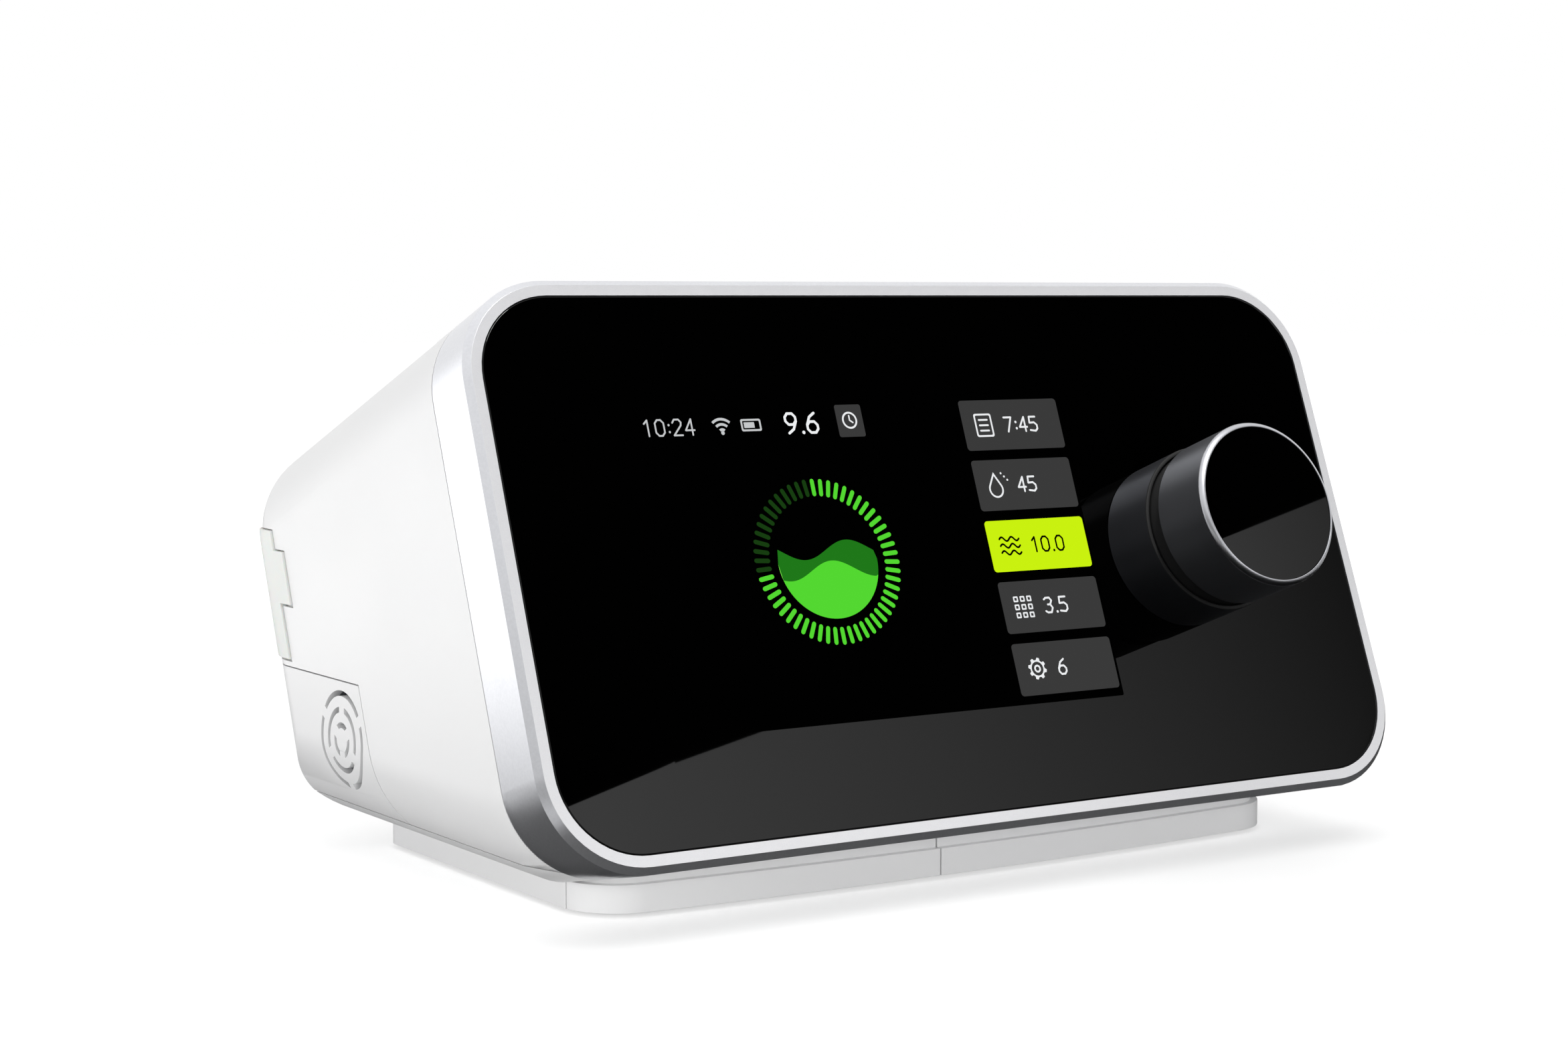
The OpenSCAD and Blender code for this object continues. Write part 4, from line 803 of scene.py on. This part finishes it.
def cross_screws(name, places, head_r, length, material, matrix):
    """Pan-head screws with a cross recess: head at the foot of each place, shank upward."""
    g = Growth(name, {"Head radius": head_r * MM, "Head height": SCREW_HEAD_H * MM, "Shank radius": 1.25 * MM,
                      "Shank length": length * MM, "Slot width": 0.7 * MM})
    head_r, head_h, slot = g.size("Head radius"), g.size("Head height"), g.size("Slot width")
    rim_h = g.worked("MULTIPLY", head_h, 0.55)
    dome_h = g.worked("SUBTRACT", head_h, rim_h)
    rim = g.node("GeometryNodeMeshCylinder", Vertices=24, Radius=head_r, Depth=rim_h).outputs[0]
    rim = g.moved(rim, Translation=g.along_z(g.worked("SUBTRACT", head_h, g.worked("MULTIPLY", rim_h, 0.5))))
    dome_foot = g.worked("MULTIPLY", head_r, 0.72)
    dome = g.node("GeometryNodeMeshCone", Vertices=24, Radius_Top=head_r, Radius_Bottom=dome_foot,
                  Depth=dome_h).outputs[0]
    shank_l = g.size("Shank length")
    shank = g.node("GeometryNodeMeshCylinder", Vertices=12, Radius=g.size("Shank radius"), Depth=shank_l).outputs[0]
    shank = g.moved(shank, Translation=g.along_z(g.worked("ADD", head_h, g.worked("MULTIPLY", shank_l, 0.5))))
    bar_l, bar_h = g.worked("MULTIPLY", head_r, 1.15), g.worked("MULTIPLY", head_h, 1.1)
    cut = g.node("GeometryNodeMeshBoolean", {"operation": "DIFFERENCE"})
    g.tree.links.new(dome, cut.inputs[0])
    for x, y in ((bar_l, slot), (slot, bar_l)):
        bar = g.node("ShaderNodeCombineXYZ", X=x, Y=y, Z=bar_h).outputs[0]
        g.tree.links.new(g.node("GeometryNodeMeshCube", Size=bar).outputs[0], cut.inputs[1])
    whole = g.joined(rim, cut.outputs[0], shank)
    set_out = g.node("GeometryNodeInstanceOnPoints", Points=g.size("Places"), Instance=whole).outputs[0]
    return g.grown(set_out, places, material, matrix)


def coil_windings(name, material, matrix):
    """Coils of round wire on the motor's teeth, which stand half a share away from the x axis."""
    coils = 9
    g = Growth(name, {"Coils": coils, "Turns": 6, "Wire radius": 0.27 * MM, "Coil width": 8.8 * MM,
                      "Coil height": 15.6 * MM, "Coil radius": 13.9 * MM, "Coil depth": 2.2 * MM})
    loop = g.node("GeometryNodeCurvePrimitiveQuadrilateral", Width=g.size("Coil width"),
                  Height=g.size("Coil height")).outputs[0]
    loop = g.node("GeometryNodeFilletCurve", {"mode": "POLY"}, Curve=loop, Radius=1.4 * MM, Count=3).outputs[0]
    wire = g.node("GeometryNodeCurvePrimitiveCircle", Resolution=6, Radius=g.size("Wire radius")).outputs[0]
    turn = g.node("GeometryNodeCurveToMesh", Curve=loop, Profile_Curve=wire).outputs[0]
    turn = g.moved(turn, Rotation=(math.pi / 2, 0, math.pi / 2))
    first = g.node("ShaderNodeCombineXYZ", X=g.size("Coil radius")).outputs[0]
    step = g.worked("DIVIDE", g.size("Coil depth"), g.worked("SUBTRACT", g.size("Turns"), 1.0))
    row = g.node("GeometryNodeMeshLine", Count=g.size("Turns"), Start_Location=first,
                 Offset=g.node("ShaderNodeCombineXYZ", X=step).outputs[0]).outputs[0]
    coil = g.node("GeometryNodeInstanceOnPoints", Points=row, Instance=turn).outputs[0]
    coil = g.node("GeometryNodeRealizeInstances", Geometry=coil).outputs[0]
    spots = g.node("GeometryNodeMeshLine", Count=g.size("Coils"), Offset=(0, 0, 0)).outputs[0]
    number_of = g.node("GeometryNodeInputIndex").outputs[0]
    share = g.worked("DIVIDE", 2 * math.pi, g.size("Coils"))
    angle = g.worked("ADD", g.worked("MULTIPLY", number_of, share), math.pi / coils)
    around = g.node("GeometryNodeInstanceOnPoints", Points=spots, Instance=coil, Rotation=g.along_z(angle)).outputs[0]
    return g.grown(around, [(0, 0, 0)], material, matrix)


def repeated_parts(m):
    """Screws of the display's carrier and of the lower shell, and the motor's coils."""
    steel, copper = m["screw_steel"], m["winding"]
    panel = Matrix((Vector((1, 0, 0)), UP_PANEL, OUT_OF_PANEL)).transposed().to_4x4()
    panel.translation = GLASS_CENTRE * MM
    head_foot = -11.6 * MM
    spots = [(x * 103.05 * MM, y * 30 * MM, head_foot) for x in (-1, 1) for y in (-1, 1)]
    mesh = cross_screws("carrier_screws_made", spots, 2.4, 4.2, steel, panel)
    add_piece("carrier_screws_made", mesh, "body", [steel], ("carrier_screws",))
    head_foot = 3.2 * MM
    spots = [(x * 76 * MM, y * MM, head_foot) for x in (-1, 1) for y in (-34, 27)]
    mesh = cross_screws("chassis_screws_made", spots, 2.8, 14.6, steel, Matrix())
    add_piece("chassis_screws_made", mesh, "body", [steel], ("chassis_screws",))
    stator_middle = Vector((-50, 15, 46.4)) * MM
    mesh = coil_windings("stator_windings", copper, Matrix.Translation(stator_middle))
    add_piece("stator_windings", mesh, "body", [copper])


def carried_over(m):
    """The construction's own solids that keep their shape and only get their finish."""
    slots = {p["node"]: p["material_slot"] for p in frame["record"]["subparts"]}
    for node, thing in frame["nodes"].items():
        material = m.get(slots.get(node))
        if material:
            thing.data.materials.clear()
            thing.data.materials.append(material)


# ---------- studio ----------

WORLD_STRENGTH = 0.4
FLOOR_TONE = 0.9


def add_light(name, place, aim, size, power):
    """A soft rectangular lamp that lights the object but doesn't show in its gloss."""
    data = bpy.data.lights.new(name, "AREA")
    data.shape = "RECTANGLE"
    data.size, data.size_y = size
    data.energy = power
    lamp = bpy.data.objects.new(name, data)
    lamp.location = place
    lamp.rotation_euler = (Vector(aim) - Vector(place)).to_track_quat("-Z", "Y").to_euler()
    lamp.visible_glossy = False
    bpy.context.scene.collection.objects.link(lamp)
    return lamp


def math_node(nodes, links, operation, *values):
    node = nodes.new("ShaderNodeMath")
    node.operation = operation
    for socket, value in zip(node.inputs, values):
        if isinstance(value, (int, float)):
            socket.default_value = value
        else:
            links.new(value, socket)
    return node.outputs[0]


def white_surroundings(scene):
    """An even white room: plain light on the object, full white where the camera, gloss or clear walls see it."""
    world = bpy.data.worlds.new("studio")
    scene.world = world
    world.use_nodes = True
    nodes, links = world.node_tree.nodes, world.node_tree.links
    path = nodes.new("ShaderNodeLightPath")
    seen = math_node(nodes, links, "MAXIMUM", path.outputs["Is Camera Ray"], path.outputs["Is Glossy Ray"])
    seen = math_node(nodes, links, "MAXIMUM", seen, path.outputs["Is Transmission Ray"])
    strength = nodes.new("ShaderNodeMapRange")
    strength.inputs["To Min"].default_value = WORLD_STRENGTH
    strength.inputs["To Max"].default_value = 1.0
    links.new(seen, strength.inputs["Value"])
    links.new(strength.outputs["Result"], nodes["Background"].inputs["Strength"])
    nodes["Background"].inputs["Color"].default_value = (1, 1, 1, 1)


def pale_floor(scene):
    """A plain floor that takes the object's shadow and is white to the camera elsewhere."""
    mesh = bpy.data.meshes.new("floor")
    mesh.from_pydata([(-6, -6, 0), (6, -6, 0), (6, 6, 0), (-6, 6, 0)], [], [(0, 1, 2, 3)])
    floor = bpy.data.objects.new("floor", mesh)
    scene.collection.objects.link(floor)
    floor.location.z = -0.0002
    pale = bpy.data.materials.new("floor_pale")
    pale.use_nodes = True
    nodes, links = pale.node_tree.nodes, pale.node_tree.links
    shader = nodes["Principled BSDF"]
    shader.inputs["Base Color"].default_value = (FLOOR_TONE, FLOOR_TONE, FLOOR_TONE, 1)
    shader.inputs["Roughness"].default_value = 0.9
    shader.inputs["Specular IOR Level"].default_value = 0.0
    shader.inputs["Emission Color"].default_value = (1, 1, 1, 1)
    path = nodes.new("ShaderNodeLightPath")
    # the glow grows outward, so that the shadow near the object stays and the far floor is white
    distance = nodes.new("ShaderNodeVectorMath")
    distance.operation = "LENGTH"
    links.new(nodes.new("ShaderNodeTexCoord").outputs["Object"], distance.inputs[0])
    outward = nodes.new("ShaderNodeMapRange")
    outward.inputs["From Min"].default_value = 0.15
    outward.inputs["From Max"].default_value = 0.8
    outward.inputs["To Min"].default_value = 0.5
    outward.inputs["To Max"].default_value = 1.0
    links.new(distance.outputs["Value"], outward.inputs["Value"])
    glow_seen = math_node(nodes, links, "MULTIPLY", path.outputs["Is Camera Ray"], outward.outputs["Result"])
    links.new(glow_seen, shader.inputs["Emission Strength"])
    mesh.materials.append(pale)


def card(name, middle, across, upward, material):
    """A flat studio card that only shows in reflections, from its middle and its two half sides."""
    middle, across, upward = Vector(middle), Vector(across), Vector(upward)
    corners = [middle - across - upward, middle + across - upward, middle + across + upward, middle - across + upward]
    mesh = bpy.data.meshes.new(name)
    mesh.from_pydata(corners, [], [(0, 1, 2, 3)])
    mesh.materials.append(material)
    thing = bpy.data.objects.new(name, mesh)
    bpy.context.scene.collection.objects.link(thing)
    for ray in ("camera", "diffuse", "shadow", "transmission", "volume_scatter"):
        setattr(thing, "visible_" + ray, False)


def card_material(name):
    """A card's plain black material, with its shader, nodes and links, for a glow to be added."""
    material = bpy.data.materials.new(name)
    material.use_nodes = True
    shader = material.node_tree.nodes["Principled BSDF"]
    shader.inputs["Base Color"].default_value = (0, 0, 0, 1)
    shader.inputs["Specular IOR Level"].default_value = 0
    return material, shader, material.node_tree.nodes, material.node_tree.links


def glow(shader, nodes, links, along, start, reach, first, last):
    """Lets a card's light run evenly from one strength to another along a direction."""
    place = nodes.new("ShaderNodeTexCoord").outputs["Object"]
    run = nodes.new("ShaderNodeVectorMath")
    run.operation = "DOT_PRODUCT"
    links.new(place, run.inputs[0])
    run.inputs[1].default_value = along
    fade = nodes.new("ShaderNodeMapRange")
    fade.inputs["From Min"].default_value = start
    fade.inputs["From Max"].default_value = start + reach
    fade.inputs["To Min"].default_value = first
    fade.inputs["To Max"].default_value = last
    links.new(run.outputs["Value"], fade.inputs["Value"])
    links.new(fade.outputs["Result"], shader.inputs["Emission Strength"])
    shader.inputs["Emission Color"].default_value = (1, 1, 1, 1)


def reflection_cards():
    """Cards for the gloss: black before the glass and on the floor, pale at the front right, at the left and
    on the floor there, and dim at the front left."""
    black, _, _, _ = card_material("card_black")
    middle = Vector((0.75, -1.25, 0.95))
    away = (Vector((0, -0.05, 0.07)) - middle).normalized()
    across = away.cross(Vector((0, 0, 1))).normalized()
    card("card_black_front", middle, across * 0.85, across.cross(away) * 0.62, black)
    card("card_black_floor", (0.07, -0.2, 0.0002), (0.23, 0, 0), (0, 0.4, 0), black)

    pale, shader, nodes, links = card_material("card_pale_front")
    corner = Vector((0.2615, -0.6672, 0.3643))
    along = Vector((0.7729, 0.6324, -0.0521))
    up_card = Vector((-0.2381, 0.3652, 0.8999))
    glow(shader, nodes, links, along, corner.dot(along), 0.38, 2.05, 0.22)
    card("card_pale_front", corner + along * 0.215 - up_card * 0.15, along * 0.335, up_card * 0.15, pale)

    pale, shader, nodes, links = card_material("card_pale_left")
    glow(shader, nodes, links, Vector((0, 0, 1)), 0.0, 0.35, 2.2, 1.1)
    card("card_pale_left", (-0.75, 0.75, 0.2), (0.35, 0.3, 0), (0, 0, 0.2), pale)

    pale, shader, nodes, links = card_material("card_pale_floor")
    glow(shader, nodes, links, Vector((0, 1, 0)), -0.04, 0.5, 0.2, 2.2)
    card("card_pale_floor", (-0.45, 0.4, 0.0004), (0.31, 0, 0), (0, 0.5, 0), pale)

    dim, shader, nodes, links = card_material("card_dim_left")
    glow(shader, nodes, links, Vector((0, 0, 1)), 0.0, 0.5, 0.12, 0.3)
    card("card_dim_left", (-0.92, -0.92, 0.25), (0.53, -0.53, 0), (0, 0, 0.25), dim)


def studio():
    white_surroundings(bpy.context.scene)
    pale_floor(bpy.context.scene)
    add_light("soft_left", (-1.5, -0.2, 0.28), (0, 0, 0.04), (1.2, 0.5), 7.2)
    add_light("soft_top", (0.1, 0.1, 1.6), (0, 0, 0.05), (1.4, 1.4), 6.5)
    add_light("soft_front", (-0.3, -1.7, 0.35), (0, 0, 0.03), (1.2, 0.6), 10)
    # a narrow lamp that shows as the bright line along the knob's side
    streak = add_light("streak_top", (-0.08, -0.42, 1.2), (0.05, -0.07, 0.08), (0.05, 0.6), 11)
    streak.visible_glossy = True
    streak.visible_diffuse = False
    reflection_cards()


add_camera()
bpy.context.scene.view_settings.view_transform = "Standard"
materials = make_materials()
carried_over(materials)
front_glass(materials)
knob(materials)
dressed_shells(materials)
repeated_parts(materials)
studio()
